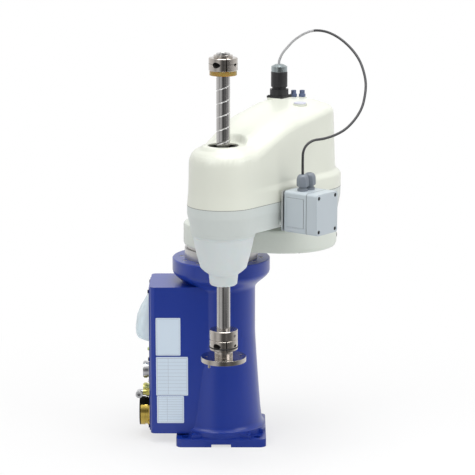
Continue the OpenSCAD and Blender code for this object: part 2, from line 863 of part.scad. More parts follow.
module arm2_cover() color(cream) at_arm2() difference() {
    union() {
        translate([0, 0, z_split]) shell(cover_rings(0), cover_rings(wall));
        translate([plug_at[0], plug_at[1], z_pad - 8]) cylinder(r = pad_r[0], h = 8);
        translate([cap_at[0], cap_at[1], z_low_pad - 8]) cylinder(r = pad_r[1], h = 8);
        for (p = fitting_at) translate([p[0], p[1], z_low_pad - 8]) cylinder(r = pad_r[2], h = 8);
    }
    translate([arm2_l, 0, z_split + 50]) cylinder(r = hole_r, h = 150);
    translate([plug_at[0], plug_at[1], z_pad - 20]) cylinder(r = stub_r + run_fit, h = 30);
    translate([cap_at[0], cap_at[1], z_pad - 20]) cylinder(r = cap_r + run_fit, h = 30);
    for (p = fitting_at) translate([p[0], p[1], z_pad - 20]) cylinder(r = tap_r + run_fit, h = 30);
    cover_screw_places() {
        translate([0, 0, -6]) cylinder(r = 2.1, h = 12);
        translate([0, 0, -1]) cylinder(r = 3.8, h = 6);
    }
}

module cover_screws() color(steel) at_arm2() cover_screw_places() difference() {
    translate([0, 0, -1]) {
        cylinder(r = 3.6, h = 1.2);
        translate([0, 0, -8]) cylinder(r = 1.55, h = 8.5);
    }
    translate([0, 0, -0.6]) cylinder(r = 1.4, h = 2, $fn = 6);
}

function funnel_side(off) = [
    for (p = funnel_profile) [p[0] - off, z_boss - p[1] * funnel_h / funnel_drawn_h]
];

module funnel_cover() color(funnel_white) at_shaft() difference() {
    neck = funnel_profile[len(funnel_profile) - 1][0];
    rotate_extrude($fn = 96) polygon(concat(
        funnel_side(0),
        [[neck, z_neck + neck_in], [neck - 2.2, z_neck + 0.5], [neck - 3.7, z_neck]],
        [[r_shaft + 5.5, z_neck], [r_shaft + 5.5, z_neck + neck_in], [neck - funnel_wall, z_neck + neck_in]],
        reversed(funnel_side(funnel_wall))
    ));
}

module shaft_wiper() color(black) at_shaft() translate([0, 0, z_neck + neck_in])
    ring(funnel_profile[len(funnel_profile) - 1][0] - funnel_wall - run_fit, r_shaft + 0.35, 6);

module j2_reducer() color(steel) at_elbow() translate([0, 0, z_arm2 - elbow_ring_h])
    ring(elbow_ring_r, hub_r + run_fit, elbow_ring_h);

module j2_motor() color(dark_steel) at_arm2() translate([0, 0, z_tray])
    servo(motor_w, j2_motor_l, motor_shaft_r, tray_floor);

module nut_bridge() color(steel) at_shaft() difference() {
    union() {
        translate([0, 0, z_bridge]) cylinder(r = bridge_r, h = bridge_h);
        around(3, bridge_post[0], 60) translate([0, 0, z_tray])
            cylinder(r = bridge_post[1], h = z_bridge - z_tray + eps);
    }
    translate([0, 0, z_bridge + ledge_h]) cylinder(r = bearing_r + seat_fit, h = bridge_h);
    translate([0, 0, z_bridge - eps]) cylinder(r = ledge_r, h = bridge_h);
}

module nut_bearings() color(steel) at_shaft() {
    translate([0, 0, z_arm2]) ring(bearing_r, spline_top_r + run_fit, bearing_h);
    translate([0, 0, z_bridge + ledge_h]) ring(bearing_r, screw_r + run_fit, bearing_h);
}

module z_motor() color(dark_steel) at_arm2() translate([z_motor_at[0], z_motor_at[1], z_plate + bracket_t])
    servo(motor_w, z_motor_l, motor_shaft_r, 0);

module t_motor() color(dark_steel) at_arm2() translate([t_motor_at[0], t_motor_at[1], t_plate + bracket_t]) {
    difference() {
        cylinder(r = 22, h = t_gear_l);
        translate([0, 0, -eps]) cylinder(r = motor_shaft_r + run_fit, h = 15);
    }
    translate([0, 0, t_gear_l]) servo(t_motor_w, t_motor_l, 4, 2);
}

// Plate on posts for a motor: centre, size, height and post places
module motor_table(centre, size, z, post_r, motor) {
    difference() {
        translate([centre[0], centre[1], z]) block(size[0], size[1], 4, bracket_t);
        translate([motor[0], motor[1], z - eps]) cylinder(r = motor_shaft_r + 2, h = bracket_t + 2 * eps);
    }
    for (x = [-1, 1], y = [-1, 1])
        translate([centre[0] + x * (size[0] / 2 - 5), centre[1] + y * (size[1] / 2 - 5), z_tray])
            cylinder(r = post_r, h = z - z_tray + eps);
}

module motor_brackets() color(steel) at_arm2() {
    motor_table([z_motor_at[0], z_motor_at[1] + 4], [74, 62], z_plate, 4, z_motor_at);
    motor_table([t_motor_at[0], t_motor_at[1] + 3], [50, 66], t_plate, 3.5, t_motor_at);
}

module z_belt() color(black) at_shaft() translate([0, 0, z_z_belt + 0.5])
    belt([z_motor_at[0] - arm2_l, z_motor_at[1]], big_r, small_r);

module t_belt() color(black) at_shaft() translate([0, 0, z_t_belt + 0.5])
    belt([t_motor_at[0] - arm2_l, t_motor_at[1]], big_r, small_r);

module top_receptacle() color(black) at_arm2() translate([plug_at[0], plug_at[1], z_pad]) {
    translate([0, 0, -10]) cylinder(r = stub_r, h = 11);
    block(38, 38, 5, 3);
    for (x = [-1, 1], y = [-1, 1]) translate([x * 14.5, y * 14.5, 0]) cylinder(r = 2.5, h = 4.5);
    cylinder(r = 18, h = receptacle_h - 4);
    cylinder(r = 13.5, h = receptacle_h);
}

module cable_plug() color(black) at_arm2() translate([plug_at[0], plug_at[1], z_pad + receptacle_h]) {
    cylinder(r1 = 15, r2 = 16, h = 1);
    translate([0, 0, 1]) cylinder(r = 16, h = plug_h - 2);
    translate([0, 0, plug_h - 1]) cylinder(r1 = 16, r2 = 15, h = 1);
}

module plug_clamp() color(dark_steel) at_arm2()
    translate([plug_at[0], plug_at[1], z_pad + receptacle_h + plug_h]) {
        cylinder(r = 15.5, h = plug_clamp_h - 4);
        translate([0, 0, plug_clamp_h - 4]) cylinder(r1 = 15.5, r2 = 8, h = 4);
    }

module air_fittings() color(black) at_arm2() for (p = fitting_at) translate([p[0], p[1], z_low_pad]) {
    translate([0, 0, -10]) cylinder(r = tap_r, h = 11);
    cylinder(r = 6.5, h = 6, $fn = 6);
    difference() {
        cylinder(r = 5, h = 13);
        translate([0, 0, 6]) cylinder(r = 3, h = 8);
    }
}

module cover_cap() color(gland_grey) at_arm2() translate([cap_at[0], cap_at[1], z_low_pad]) {
    cylinder(r = 12, h = 1.5);
    translate([0, 0, 1.5]) cylinder(r1 = 12, r2 = 11, h = 1);
    translate([0, 0, -7]) cylinder(r = cap_r, h = 8);
}

// Junction box

module box_bracket() color(steel) at_box() {
    jb_slab(jb_w - 2, jb_h - 2, 3, -bracket_off - jb_plate_t, jb_plate_t);
    for (x = [10, jb_w - 10], z = [10, jb_h - 10]) translate([x, -bracket_off - eps, jb_z + z])
        rotate([-90, 0, 0]) cylinder(r = 4, h = bracket_off + eps);
}

module box_body() color(box_grey) at_box() difference() {
    union() {
        jb_slab(jb_w, jb_h, jb_edge, 0, jb_body);
        translate([jb_w - eps, 6, jb_z + 11]) cube([0.8 + eps, jb_body - 12, jb_h - 22]);
    }
    jb_slab(jb_w - 2 * jb_wall, jb_h - 2 * jb_wall, jb_edge - 1.5, jb_wall, jb_body);
    for (x = gland_x) translate([x, gland_off, jb_z + jb_h - 10]) cylinder(r = gland_r + run_fit, h = 20);
}

module lid_screw_places() {
    for (x = [jb_screw_in, jb_w - jb_screw_in], z = [jb_screw_in, jb_h - jb_screw_in])
        translate([x, jb_d, jb_z + z]) rotate([-90, 0, 0]) children();
}

module box_lid() color(box_grey) at_box() difference() {
    jb_slab(jb_w, jb_h, jb_edge, jb_body + part_gap, jb_lid - part_gap);
    jb_slab(jb_w - 28, jb_h - 28, 3, jb_body - 1, jb_lid - 3);
    lid_screw_places() {
        translate([0, 0, -3]) cylinder(r = 3.6, h = 4);
        translate([0, 0, -18]) cylinder(r = 2.1, h = 18);
    }
}

module lid_screws() color(dark_steel) at_box() lid_screw_places() translate([0, 0, -3]) difference() {
    union() {
        cylinder(r = 3.3, h = 2.2);
        translate([0, 0, -13]) cylinder(r = 2, h = 13.5);
    }
    translate([-4, -0.5, 1.2]) cube([8, 1, 2]);
}

// Gland: threaded stub, hexagonal collar, groove, hexagonal nut and sloped end
module gland(end_r) {
    translate([0, 0, -9]) cylinder(r = gland_r, h = 10);
    rotate([0, 0, 30]) cylinder(r = gland_hex, h = 7, $fn = 6);
    cylinder(r = 9, h = 10);
    translate([0, 0, 9]) rotate([0, 0, 30]) cylinder(r = gland_hex, h = 15, $fn = 6);
    translate([0, 0, 24]) cylinder(r1 = 9.7, r2 = end_r, h = gland_h - 24);
}

module cable_gland() color(gland_grey) at_box() translate([gland_x[0], gland_off, jb_z + jb_h]) gland(5);

module blank_gland() color(gland_grey) at_box() translate([gland_x[1], gland_off, jb_z + jb_h]) gland(6.5);

module signal_cable() color(black) at_arm2() translate([0, 0, z_split])
    tube(smooth_route(cable_route, 3), cable_d / 2, cable_sides, [1, 0.2, 0.5]);

// Motor pulleys with their shafts

module motor_pulley(z, plate, reach) {
    translate([0, 0, z]) pulley(small_teeth, small_r, 0);
    translate([0, 0, z + belt_w]) cylinder(r = motor_shaft_r, h = plate + reach - z - belt_w);
}

module z_motor_pulley() color(steel) at_arm2() translate([z_motor_at[0], z_motor_at[1], 0])
    motor_pulley(z_z_belt, z_plate, bracket_t + 12);

module t_motor_pulley() color(steel) at_arm2() translate([t_motor_at[0], t_motor_at[1], 0])
    motor_pulley(z_t_belt, t_plate, bracket_t + 12);

// Nuts on the shaft

module spline_nut() color(steel) at_shaft() difference() {
    union() {
        translate([0, 0, z_arm2 - 72]) cylinder(r = nut_r, h = 62);
        translate([0, 0, z_arm2 - 12])
            cylinder(r = spline_top_r, h = z_t_belt - pulley_flange - z_arm2 + 12);
        translate([0, 0, z_arm2]) cylinder(r = neck_nut_r, h = z_t_belt + belt_w + 4 - z_arm2);
    }
    translate([0, 0, z_neck]) cylinder(r = r_shaft + run_fit, h = 200);
}

module t_pulley() color(steel) at_shaft() translate([0, 0, z_t_belt])
    pulley(big_teeth, big_r, neck_nut_r + seat_fit);

module screw_nut() color(steel) at_shaft() difference() {
    union() {
        translate([0, 0, z_z_belt - 4]) cylinder(r = neck_nut_r, h = belt_w + 8);
        translate([0, 0, z_z_belt + belt_w + pulley_flange]) cylinder(r = screw_r, h = 56);
    }
    translate([0, 0, z_split]) cylinder(r = r_shaft + run_fit, h = 150);
}

module z_pulley() color(steel) at_shaft() translate([0, 0, z_z_belt])
    pulley(big_teeth, big_r, neck_nut_r + seat_fit);

// Shaft and what is clamped on it

module shaft() color(steel) at_shaft() difference() {
    translate([0, 0, z_shaft_low]) cylinder(r = r_shaft, h = z_shaft_top - z_shaft_low);
    translate([0, 0, z_shaft_low - eps]) cylinder(r = shaft_bore / 2, h = z_shaft_top);
    around(3, r_shaft + 0.6, 30) translate([0, 0, z_clamp + clamp_h + low_stop_h])
        cylinder(r = groove_r, h = z_bumper - z_clamp - clamp_h - low_stop_h);
}

// Split clamp ring: outer radius, height, slit and a bore for its screw
module clamp_ring(h, slit) {
    difference() {
        union() {
            translate([0, 0, 1]) cylinder(r = collar_r, h = h - 2);
            cylinder(r1 = collar_r - 1, r2 = collar_r, h = 1);
            translate([0, 0, h - 1]) cylinder(r1 = collar_r, r2 = collar_r - 1, h = 1);
        }
        translate([0, 0, -eps]) cylinder(r = r_shaft + seat_fit, h = h + 2 * eps);
        rotate([0, 0, slit]) {
            translate([0, -1, -eps]) cube([collar_r + 1, 2, h + 2 * eps]);
            translate([clamp_bolt_at[0], 30, h / 2]) rotate([90, 0, 0]) cylinder(r = clamp_bolt_at[2], h = 60);
            translate([clamp_bolt_at[0], -7, h / 2]) rotate([90, 0, 0]) cylinder(r = clamp_bolt_at[1], h = 30);
        }
    }
}

module top_stopper() color(steel) at_shaft() translate([0, 0, z_bumper + bumper_h])
    clamp_ring(stopper_h, slit_angle);

module stopper_bumper() color(amber) at_shaft() translate([0, 0, z_bumper])
    ring(bumper_r, r_shaft + part_gap, bumper_h);

module end_ring() color(steel) at_shaft() translate([0, 0, z_end_ring])
    ring(end_ring_r, r_shaft + seat_fit, end_ring_h);

module lower_stopper() color(steel) at_shaft() translate([0, 0, z_low_stop])
    clamp_ring(low_stop_h, slit_angle + 90);

module clamp_collar() color(steel) at_shaft() translate([0, 0, z_clamp]) difference() {
    clamp_ring(clamp_h, slit_angle);
    translate([0, 0, collar_groove[1]]) ring(collar_r + 2, collar_r - collar_groove[0], 1.2);
}

module clamp_screw(h, slit) {
    rotate([0, 0, slit]) translate([clamp_bolt_at[0], -8, h / 2]) rotate([90, 0, 0])
        socket_screw(4.6, 5, 24, 2.2);
}

module collar_screws() color(dark_steel) at_shaft() {
    translate([0, 0, z_bumper + bumper_h]) clamp_screw(stopper_h, slit_angle);
    translate([0, 0, z_low_stop]) clamp_screw(low_stop_h, slit_angle + 90);
    translate([0, 0, z_clamp]) clamp_screw(clamp_h, slit_angle);
}

module tool_flange() color(steel) at_shaft() difference() {
    union() {
        translate([0, 0, z_tool - tool_t]) cylinder(r = tool_r, h = tool_t, $fn = 96);
        translate([0, 0, z_tool - eps]) cylinder(r = tool_hub_r, h = hub_h + eps);
    }
    translate([0, 0, z_shaft_low]) cylinder(r = r_shaft + seat_fit, h = 100);
    translate([0, 0, z_shaft_low - 20]) cylinder(r = shaft_bore / 2, h = 30);
    around(4, tool_pcd / 2, 45) translate([0, 0, z_tool - tool_t - eps])
        cylinder(r = tool_hole / 2, h = tool_t + 2 * eps);
    tool_pin_place() cylinder(r = 2 + seat_fit, h = 5);
}

module tool_pin_place() {
    rotate([0, 0, -23]) translate([tool_pcd / 2, 0, z_tool - tool_t]) children();
}

module tool_pin() color(steel) at_shaft() tool_pin_place() translate([0, 0, -9]) cylinder(r = 2, h = 13.9);

base_casting();
connector_panel();
panel_screws();
power_connector();
power_cap();
encoder_connector();
io_connector();
elbow_fitting();
dust_bag();
flange_bolts();
j1_motor();
j1_motor_plate();
j1_reducer();
arm1_casting();
arm1_bottom_cover();
arm1_screws();
j1_output_flange();
j2_output_flange();
arm2_casting();
arm2_cover();
cover_screws();
funnel_cover();
shaft_wiper();
j2_reducer();
j2_motor();
nut_bridge();
nut_bearings();
z_motor();
t_motor();
motor_brackets();
z_belt();
t_belt();
top_receptacle();
cable_plug();
plug_clamp();
air_fittings();
cover_cap();
box_bracket();
box_body();
box_lid();
lid_screws();
cable_gland();
blank_gland();
signal_cable();
z_motor_pulley();
t_motor_pulley();
spline_nut();
t_pulley();
screw_nut();
z_pulley();
shaft();
top_stopper();
stopper_bumper();
end_ring();
lower_stopper();
clamp_collar();
collar_screws();
tool_flange();
tool_pin();
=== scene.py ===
"""Dresses a four-axis arm: castings, moulded covers, ball screw shaft, signal cable and stage.

Run inside Blender 4.5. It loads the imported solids, which keep their places, and puts the finished
pieces over them. Lengths are in millimetres and are scaled where a mesh is made. The properties,
the shaders and the stage are in metres, as Blender's own units are.
"""

import json
import math
from functools import cache, partial

import bmesh
import bpy
import numpy
from bpy.props import FloatProperty, FloatVectorProperty, IntProperty, PointerProperty
from mathutils import Matrix, Vector
from mathutils.bvhtree import BVHTree

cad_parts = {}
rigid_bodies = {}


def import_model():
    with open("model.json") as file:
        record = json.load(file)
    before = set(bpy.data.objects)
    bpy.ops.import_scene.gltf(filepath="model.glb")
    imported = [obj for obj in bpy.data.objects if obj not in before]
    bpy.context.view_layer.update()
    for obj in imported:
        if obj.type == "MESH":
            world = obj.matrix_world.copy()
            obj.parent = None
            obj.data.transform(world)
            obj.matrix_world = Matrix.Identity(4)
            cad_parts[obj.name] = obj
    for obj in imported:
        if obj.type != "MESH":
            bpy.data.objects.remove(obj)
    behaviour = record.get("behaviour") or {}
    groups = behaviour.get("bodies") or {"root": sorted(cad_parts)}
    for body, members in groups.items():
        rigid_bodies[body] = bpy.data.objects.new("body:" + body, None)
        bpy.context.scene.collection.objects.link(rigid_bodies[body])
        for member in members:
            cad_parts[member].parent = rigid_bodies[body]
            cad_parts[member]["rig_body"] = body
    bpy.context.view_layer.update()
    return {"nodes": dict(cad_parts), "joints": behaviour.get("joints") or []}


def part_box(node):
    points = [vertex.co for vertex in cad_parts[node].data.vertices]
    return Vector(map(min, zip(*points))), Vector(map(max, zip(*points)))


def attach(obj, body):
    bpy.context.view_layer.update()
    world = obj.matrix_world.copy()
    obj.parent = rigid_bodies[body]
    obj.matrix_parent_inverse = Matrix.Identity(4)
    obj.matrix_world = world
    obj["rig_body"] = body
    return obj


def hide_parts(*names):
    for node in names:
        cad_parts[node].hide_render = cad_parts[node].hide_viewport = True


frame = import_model()

bl_info = {
    "name": "Four-axis arm",
    "version": (1, 0, 0),
    "blender": (4, 5, 0),
    "location": "View3D > Sidebar > Arm",
    "description": "Castings, covers, ball screw shaft, connectors and cable of a four-axis arm",
    "category": "Object",
}

MM = 0.001
TURN = 2 * math.pi
JOINTS = {joint["name"]: joint for joint in frame["joints"]}
ELBOW = Vector(JOINTS["elbow"]["pos_m"]) / MM
SHAFT = Vector(JOINTS["shaft_turn"]["pos_m"]) / MM
ARM2_TURN = math.atan2(SHAFT.y - ELBOW.y, SHAFT.x - ELBOW.x)
ARM2_LENGTH = math.hypot(SHAFT.x - ELBOW.x, SHAFT.y - ELBOW.y)
SPLIT_Z = 502.0
PANEL_X = -140.0
BOX_SIDE_Y = -61.0
COLUMN_TOP = 361.0

# The photograph's frame: focal length in pixels, width in pixels, place and tilt of the camera
FOCAL_PX = 2048.25
FRAME_PX = 475
CAMERA_AT = (31.84, -3896.96, 1229.77)
CAMERA_TILT = 77.96

# Route of the signal cable in arm 2's frame, above the split line of its covers
CABLE_ROUTE = [
    (-36, -37, 229), (-36, -37, 236), (-38, -31, 250), (-41, -21, 263), (-45, -8, 277),
    (-48, 14, 291), (-51, 35, 297), (-53, 60, 295), (-53, 86, 285), (-49, 112, 269),
    (-42, 134, 250), (-32, 150, 230), (-20, 162, 208), (-4, 169, 186), (14, 172, 165),
    (35, 169, 146), (57, 162, 131), (78, 152, 122), (98, 140, 117), (115, 128, 115),
    (128, 121, 108), (136, 118, 96), (138, 118, 80), (138, 118, 66), (138, 118, 54),
]
ROUTE_STEPS = 8
CABLE_SIDES = 16

# Blank plates on the connector box: left, right, bottom and top, with their ruling's pitch
PLATES = [
    ("upper_plate", -126.5, -78.7, 177.7, 252.6, 0.0),
    ("middle_plate", -126.2, -64.5, 97.1, 174.7, 7.2),
    ("lower_plate", -124.9, -72.6, 41.3, 96.0, 5.1),
]


def heading(angle):
    """The level direction at an angle."""
    return Vector((math.cos(angle), math.sin(angle), 0))


def arm2_point(u, v, z):
    """A point of arm 2's frame, along and across it, in the row frame."""
    turned = Matrix.Rotation(ARM2_TURN, 3, "Z") @ Vector((u, v, 0))
    return Vector((ELBOW.x + turned.x, ELBOW.y + turned.y, z))


# Junction box: its directions along and away from arm 2's straight side, which leans on the line
# from elbow to shaft, its corner, its width and the joint of its lid
SIDE_LEAN = math.radians(6.797)
SIDE_END = arm2_point(232.93, 66.53, 0).xy
BOX_ALONG = heading(ARM2_TURN - SIDE_LEAN).xy
BOX_ASIDE = Vector((-BOX_ALONG.y, BOX_ALONG.x))
BOX_BACK, BOX_OUT = 143, 14
BOX_AT = SIDE_END - BOX_BACK * BOX_ALONG + BOX_OUT * BOX_ASIDE
BOX_W = 64.0
BOX_JOINT = 50.5


# Sizes and colours that a user may change


def length_property(name, description, value):
    """A length in the scene's units."""
    return FloatProperty(name=name, description=description, default=value, unit="LENGTH")


class ArmSizes(bpy.types.PropertyGroup):
    """Sizes of the dressed arm."""

    cable_d: length_property("Cable diameter", "Outside diameter of the signal cable", 0.0048)
    edge: length_property("Edge rounding", "Rounding of the castings' machined edges", 0.0006)
    small_edge: length_property("Small edge rounding", "Rounding of small parts' edges", 0.0003)
    screw_lead: length_property("Screw lead", "Rise of the helical groove in one turn", 0.025)
    screw_depth: length_property("Groove depth", "Depth of the helical groove", 0.0007)
    shaft_sides: IntProperty(name="Shaft sides", description="Faces round the shaft", default=120)
    plate_t: length_property("Plate thickness", "Thickness of the blank plates", 0.0003)


def colour_property(name, description, value):
    """A colour that shows as a swatch in the panel."""
    return FloatVectorProperty(
        name=name, description=description, default=value, size=3, min=0, max=1, subtype="COLOR")


class ArmColours(bpy.types.PropertyGroup):
    """Colours of the arm's paints and mouldings."""

    column: colour_property("Column", "Enamel of the base", (0.004, 0.031, 0.295))
    arms: colour_property("Arms", "Enamel of the arm castings", (0.66, 0.70, 0.64))
    lower: colour_property("Lower casting", "Enamel of arm 2's lower casting", (0.60, 0.645, 0.625))
    cover: colour_property("Cover", "Moulding of arm 2's cover", (0.72, 0.74, 0.655))
    funnel: colour_property("Funnel", "Moulding under arm 2", (0.65, 0.70, 0.705))
    steel: colour_property("Steel", "Ground steel of the shaft", (0.52, 0.51, 0.50))
    collars: colour_property("Collars", "Turned steel of the collars", (0.54, 0.50, 0.46))
    box: colour_property("Box", "Junction box", (0.48, 0.535, 0.575))
    gland: colour_property("Glands", "Cable glands", (0.19, 0.215, 0.25))
    amber: colour_property("Bumper", "Urethane bumper", (0.46, 0.30, 0.065))


# Shader maths and finishes


def operation(name, swapped=False):
    """One of Python's operators on values, which adds a Math node to their tree."""

    def apply(self, other):
        return self.nodes.maths(name, *((other, self) if swapped else (self, other)))

    return apply


class Value:
    """A number that changes over a surface, and the nodes that it comes from."""

    def __init__(self, nodes, socket):
        self.nodes = nodes
        self.socket = socket

    __add__ = __radd__ = operation("ADD")
    __sub__ = operation("SUBTRACT")
    __rsub__ = operation("SUBTRACT", swapped=True)
    __mul__ = __rmul__ = operation("MULTIPLY")
    __truediv__ = operation("DIVIDE")
    __pow__ = operation("POWER")
    __gt__ = operation("GREATER_THAN")
    __lt__ = operation("LESS_THAN")


class Nodes:
    """A node tree. add() puts in any node, with its settings and the values of its sockets."""

    def __init__(self, tree):
        self.tree = tree

    def feed(self, socket, value):
        if isinstance(value, Value):
            self.tree.links.new(value.socket, socket)
        else:
            socket.default_value = value

    def add(self, kind, settings=None, inputs=None, output=0):
        node = self.tree.nodes.new("ShaderNode" + kind)
        for key, value in (settings or {}).items():
            if key == "stops":
                ramp = node.color_ramp.elements
                while len(ramp) < len(value):
                    ramp.new(1.0)
                for element, (place, tone) in zip(ramp, value):
                    element.position, element.color = place, (tone, tone, tone, 1.0)
            else:
                setattr(node, key, value)
        for key, value in (inputs or {}).items():
            self.feed(node.inputs[key], value)
        return Value(self, node.outputs[output] if len(node.outputs) else None)

    def maths(self, kind, *numbers):
        """A Math node on numbers and values."""
        return self.add("Math", {"operation": kind}, dict(enumerate(numbers)))

    def parts(self, vector):
        """The three numbers of a vector."""
        first = self.add("SeparateXYZ", {}, {0: vector})
        return [Value(self, socket) for socket in first.socket.node.outputs]

    def seen(self):
        """1 for what the camera, gloss or glass sees, and 0 for the light that falls on things."""
        camera, gloss, glass = (
            self.add("LightPath", output=name)
            for name in ("Is Camera Ray", "Is Glossy Ray", "Is Transmission Ray"))
        return self.maths("MINIMUM", camera + gloss + glass, 1.0)


class Finish(Nodes):
    """One procedural material. surface() feeds the shader's sockets."""

    def __init__(self, name, **fixed):
        self.material = bpy.data.materials.new(name)
        self.material.use_nodes = True
        super().__init__(self.material.node_tree)
        self.shader = next(n for n in self.tree.nodes if n.type == "BSDF_PRINCIPLED")
        self.surface(**fixed)

    def surface(self, **values):
        """Feed the shader's sockets; their names have an underscore for a space."""
        for key, value in values.items():
            self.feed(self.shader.inputs[key.replace("_", " ")], value)
        return self

    def coords(self, centre=(0, 0, 0), turn=(0, 0, 0), stretch=(1, 1, 1)):
        """Object coordinates with centre at zero, then turned and stretched."""
        place = self.add("TexCoord", output="Object")
        place = self.add("VectorMath", {"operation": "SUBTRACT"}, {0: place, 1: centre})
        if any(turn) or stretch != (1, 1, 1):
            place = self.add(
                "Mapping", {}, {"Vector": place, "Rotation": turn, "Scale": stretch})
        return place

    def millimetres(self):
        """The piece's coordinates as three numbers in mm."""
        return [number / MM for number in self.parts(self.coords())]

    def darkened(self, tone, shadow):
        """A tone darkened by a mask: painted shade and reflection, dark joints and a black face."""
        return self.mix(tone, DARK, shadow(*self.millimetres())) if shadow else tone

    def noise(self, place, scale, detail=2.0):
        return self.add("TexNoise", {}, {"Vector": place, "Scale": scale, "Detail": detail})

    def mix(self, first, second, share):
        return self.add("Mix", {"data_type": "RGBA"}, {0: share, 6: first, 7: second}, output=2)

    def bump(self, height, distance, strength):
        return self.add(
            "Bump", {}, {"Height": height, "Distance": distance, "Strength": strength})


def shade(colour, gain=1.0):
    """A colour with alpha, made lighter or darker."""
    return tuple(min(1.0, c * gain) for c in colour[:3]) + (1.0,)


# Where the tone of a piece changes: the power connector's cap, with its black face and a painted
# dark reflection over its top, the elbow fitting's nut, and painted shade in the counterbores of
# the column's flange and in the slits and holes of the collars
DARK = (0.03, 0.028, 0.026, 1.0)
CAP_FACE_X = -158.8
# Height above which the brass is painted dark: a painted reflection of the fitting above
CAP_REFLECTION_Z = 66.5
ELBOW_NUT_X = -154.0
BOLT_DEPTHS = (5.7, 0.4)
BOLT_RADII = (71.5, 82.5)
SLIT_HEIGHTS = ((751, 772.5), (247, 263.5), (227, 245))
SLIT_RADII = (13.5, 26.1)
RING_HEIGHTS = ((230.0, 232.7), (762.9, 763.5))


def band(value, low, high):
    """1 where a value lies between two others."""
    return (value > low) * (value < high)


def away(x, y):
    """Distance from the axis x = y = 0."""
    return (x * x + y * y) ** 0.5


def split_shadow(x, y, z):
    """The joint between the cover and the casting of arm 2."""
    return band(z, SPLIT_Z - 0.6, SPLIT_Z + 0.3) * 0.8


def bolt_shadow(x, y, z):
    """Painted shade in the counterbores of the column's top flange."""
    deep, shallow = BOLT_DEPTHS
    return band(z, COLUMN_TOP - deep, COLUMN_TOP - shallow) * band(away(x, y), *BOLT_RADII)


def box_shadow(x, y, z):
    """The junction box's dark lid joint, and painted shade on the step round its raised field."""
    ahead = x * BOX_ALONG.x + y * BOX_ALONG.y - BOX_AT.dot(BOX_ALONG)
    aside = x * BOX_ASIDE.x + y * BOX_ASIDE.y - BOX_AT.dot(BOX_ASIDE)
    joint = band(aside, BOX_JOINT - 0.35, BOX_JOINT + 0.65)
    step = band(ahead, BOX_W + 0.06, BOX_W + 0.72)
    return joint * 0.75 + step * (1 - joint) * 0.8


def cap_face_and_reflection(x, y, z):
    """The black face of the power connector's cap, and a dark band painted over the tops of the
    cap and the connector: a painted reflection of the fitting above them.
    """
    face = x < CAP_FACE_X
    dark_reflection = z > CAP_REFLECTION_Z
    return face + dark_reflection - face * dark_reflection


def collar_shadow(x, y, z):
    """Painted shade in the slits and screw holes of the collars and in the groove of the O-ring,
    and a painted dark line for the scored line near the top.
    """
    radius = away(x - SHAFT.x, y - SHAFT.y)
    slits, rings = (
        sum(band(z, *heights) for heights in levels) for levels in (SLIT_HEIGHTS, RING_HEIGHTS))
    return (slits * band(radius, *SLIT_RADII) + rings * (radius > SLIT_RADII[1])) * 0.92


def enamel(name, colour, roughness, coat, shadow=None):
    """Sprayed enamel on a casting: orange peel, the casting's slight waviness and a thin coat.

    Here and in the finishes below, shadow gives, from the coordinates in mm, what stays dark.
    """
    f = Finish(name, Coat_Weight=coat, Coat_Roughness=0.12)
    place = f.coords()
    broad = f.noise(place, 7)
    cast = f.noise(place, 140, 3)
    peel = f.noise(place, 700, 1)
    tone = f.mix(shade(colour, 0.93), shade(colour, 1.06), broad * 0.7 + cast * 0.3)
    return f.surface(
        Base_Color=f.darkened(tone, shadow),
        Roughness=roughness + (broad - 0.5) * 0.08 + (cast - 0.5) * 0.06,
        Normal=f.bump(peel * 0.55 + cast * 0.45, 0.00012, 0.5),
    )


def moulding(name, colour, roughness, grain, shadow=None, **fixed):
    """Moulded plastic with fine spark-eroded grain, faint flow marks, dark joints and painted
    shade.
    """
    f = Finish(name, **fixed)
    place = f.coords()
    flow = f.noise(f.coords(stretch=(1, 1, 0.4)), 9, 3)
    fine = f.noise(place, grain)
    tone = f.mix(shade(colour, 0.96), shade(colour, 1.03), flow)
    return f.surface(
        Base_Color=f.darkened(tone, shadow),
        Roughness=roughness + (flow - 0.5) * 0.08 + (fine - 0.5) * 0.06,
        Normal=f.bump(fine, 0.00004, 0.5),
    )


def turned(
        name, colour, roughness, centre, turn=(0, 0, 0), pitch=700, groove_highlight=None, shadow=None):
    """Metal turned on a lathe: rings round an axis, and handling marks.

    A named attribute is 1 in a groove, where the steel is painted lighter, a painted highlight.
    """
    f = Finish(name, Metallic=1.0)
    place = f.coords(centre, turn)
    x, y, z = f.parts(place)
    ringed = f.add("CombineXYZ", {}, {0: away(x, y), 1: z, 2: 0.0})
    rings = f.noise(ringed, pitch, 1)
    bands = f.noise(ringed, pitch / 9, 1)
    marks = f.noise(place, 60, 3)
    tone = f.mix(shade(colour, 0.86), shade(colour, 1.10), bands * 0.5 + marks * 0.5)
    # Painted highlight: the groove's steel is painted lighter and made rougher
    if groove_highlight:
        share = f.add("Attribute", {"attribute_name": groove_highlight}, output="Fac")
        tone = f.mix(tone, shade((0.74, 0.74, 0.73)), share)
        roughness = roughness + share * 0.35
    if shadow:
        roughness = roughness + shadow(*f.millimetres()) * 0.65
    return f.surface(
        Base_Color=f.darkened(tone, shadow),
        Roughness=roughness + (rings - 0.5) * 0.08 + (marks - 0.5) * 0.08,
        Normal=f.bump(rings, 0.00001, 0.35),
    )


def plating(name, low, high, roughness, nut=None):
    """Plated metal whose tint drifts between two colours; nut colours the elbow fitting's nut."""
    f = Finish(name, Metallic=1.0)
    place = f.coords()
    tint = f.noise(place, 45, 3)
    fine = f.noise(place, 1500)
    tone = f.mix(shade(low), shade(high), (tint - 0.35) * 3.0)
    if nut:
        tone = f.mix(tone, shade(nut), f.millimetres()[0] > ELBOW_NUT_X)
    return f.surface(
        Base_Color=tone,
        Roughness=roughness + (fine - 0.5) * 0.12 + (tint - 0.5) * 0.1,
        Normal=f.bump(fine, 0.00003, 0.4),
    )


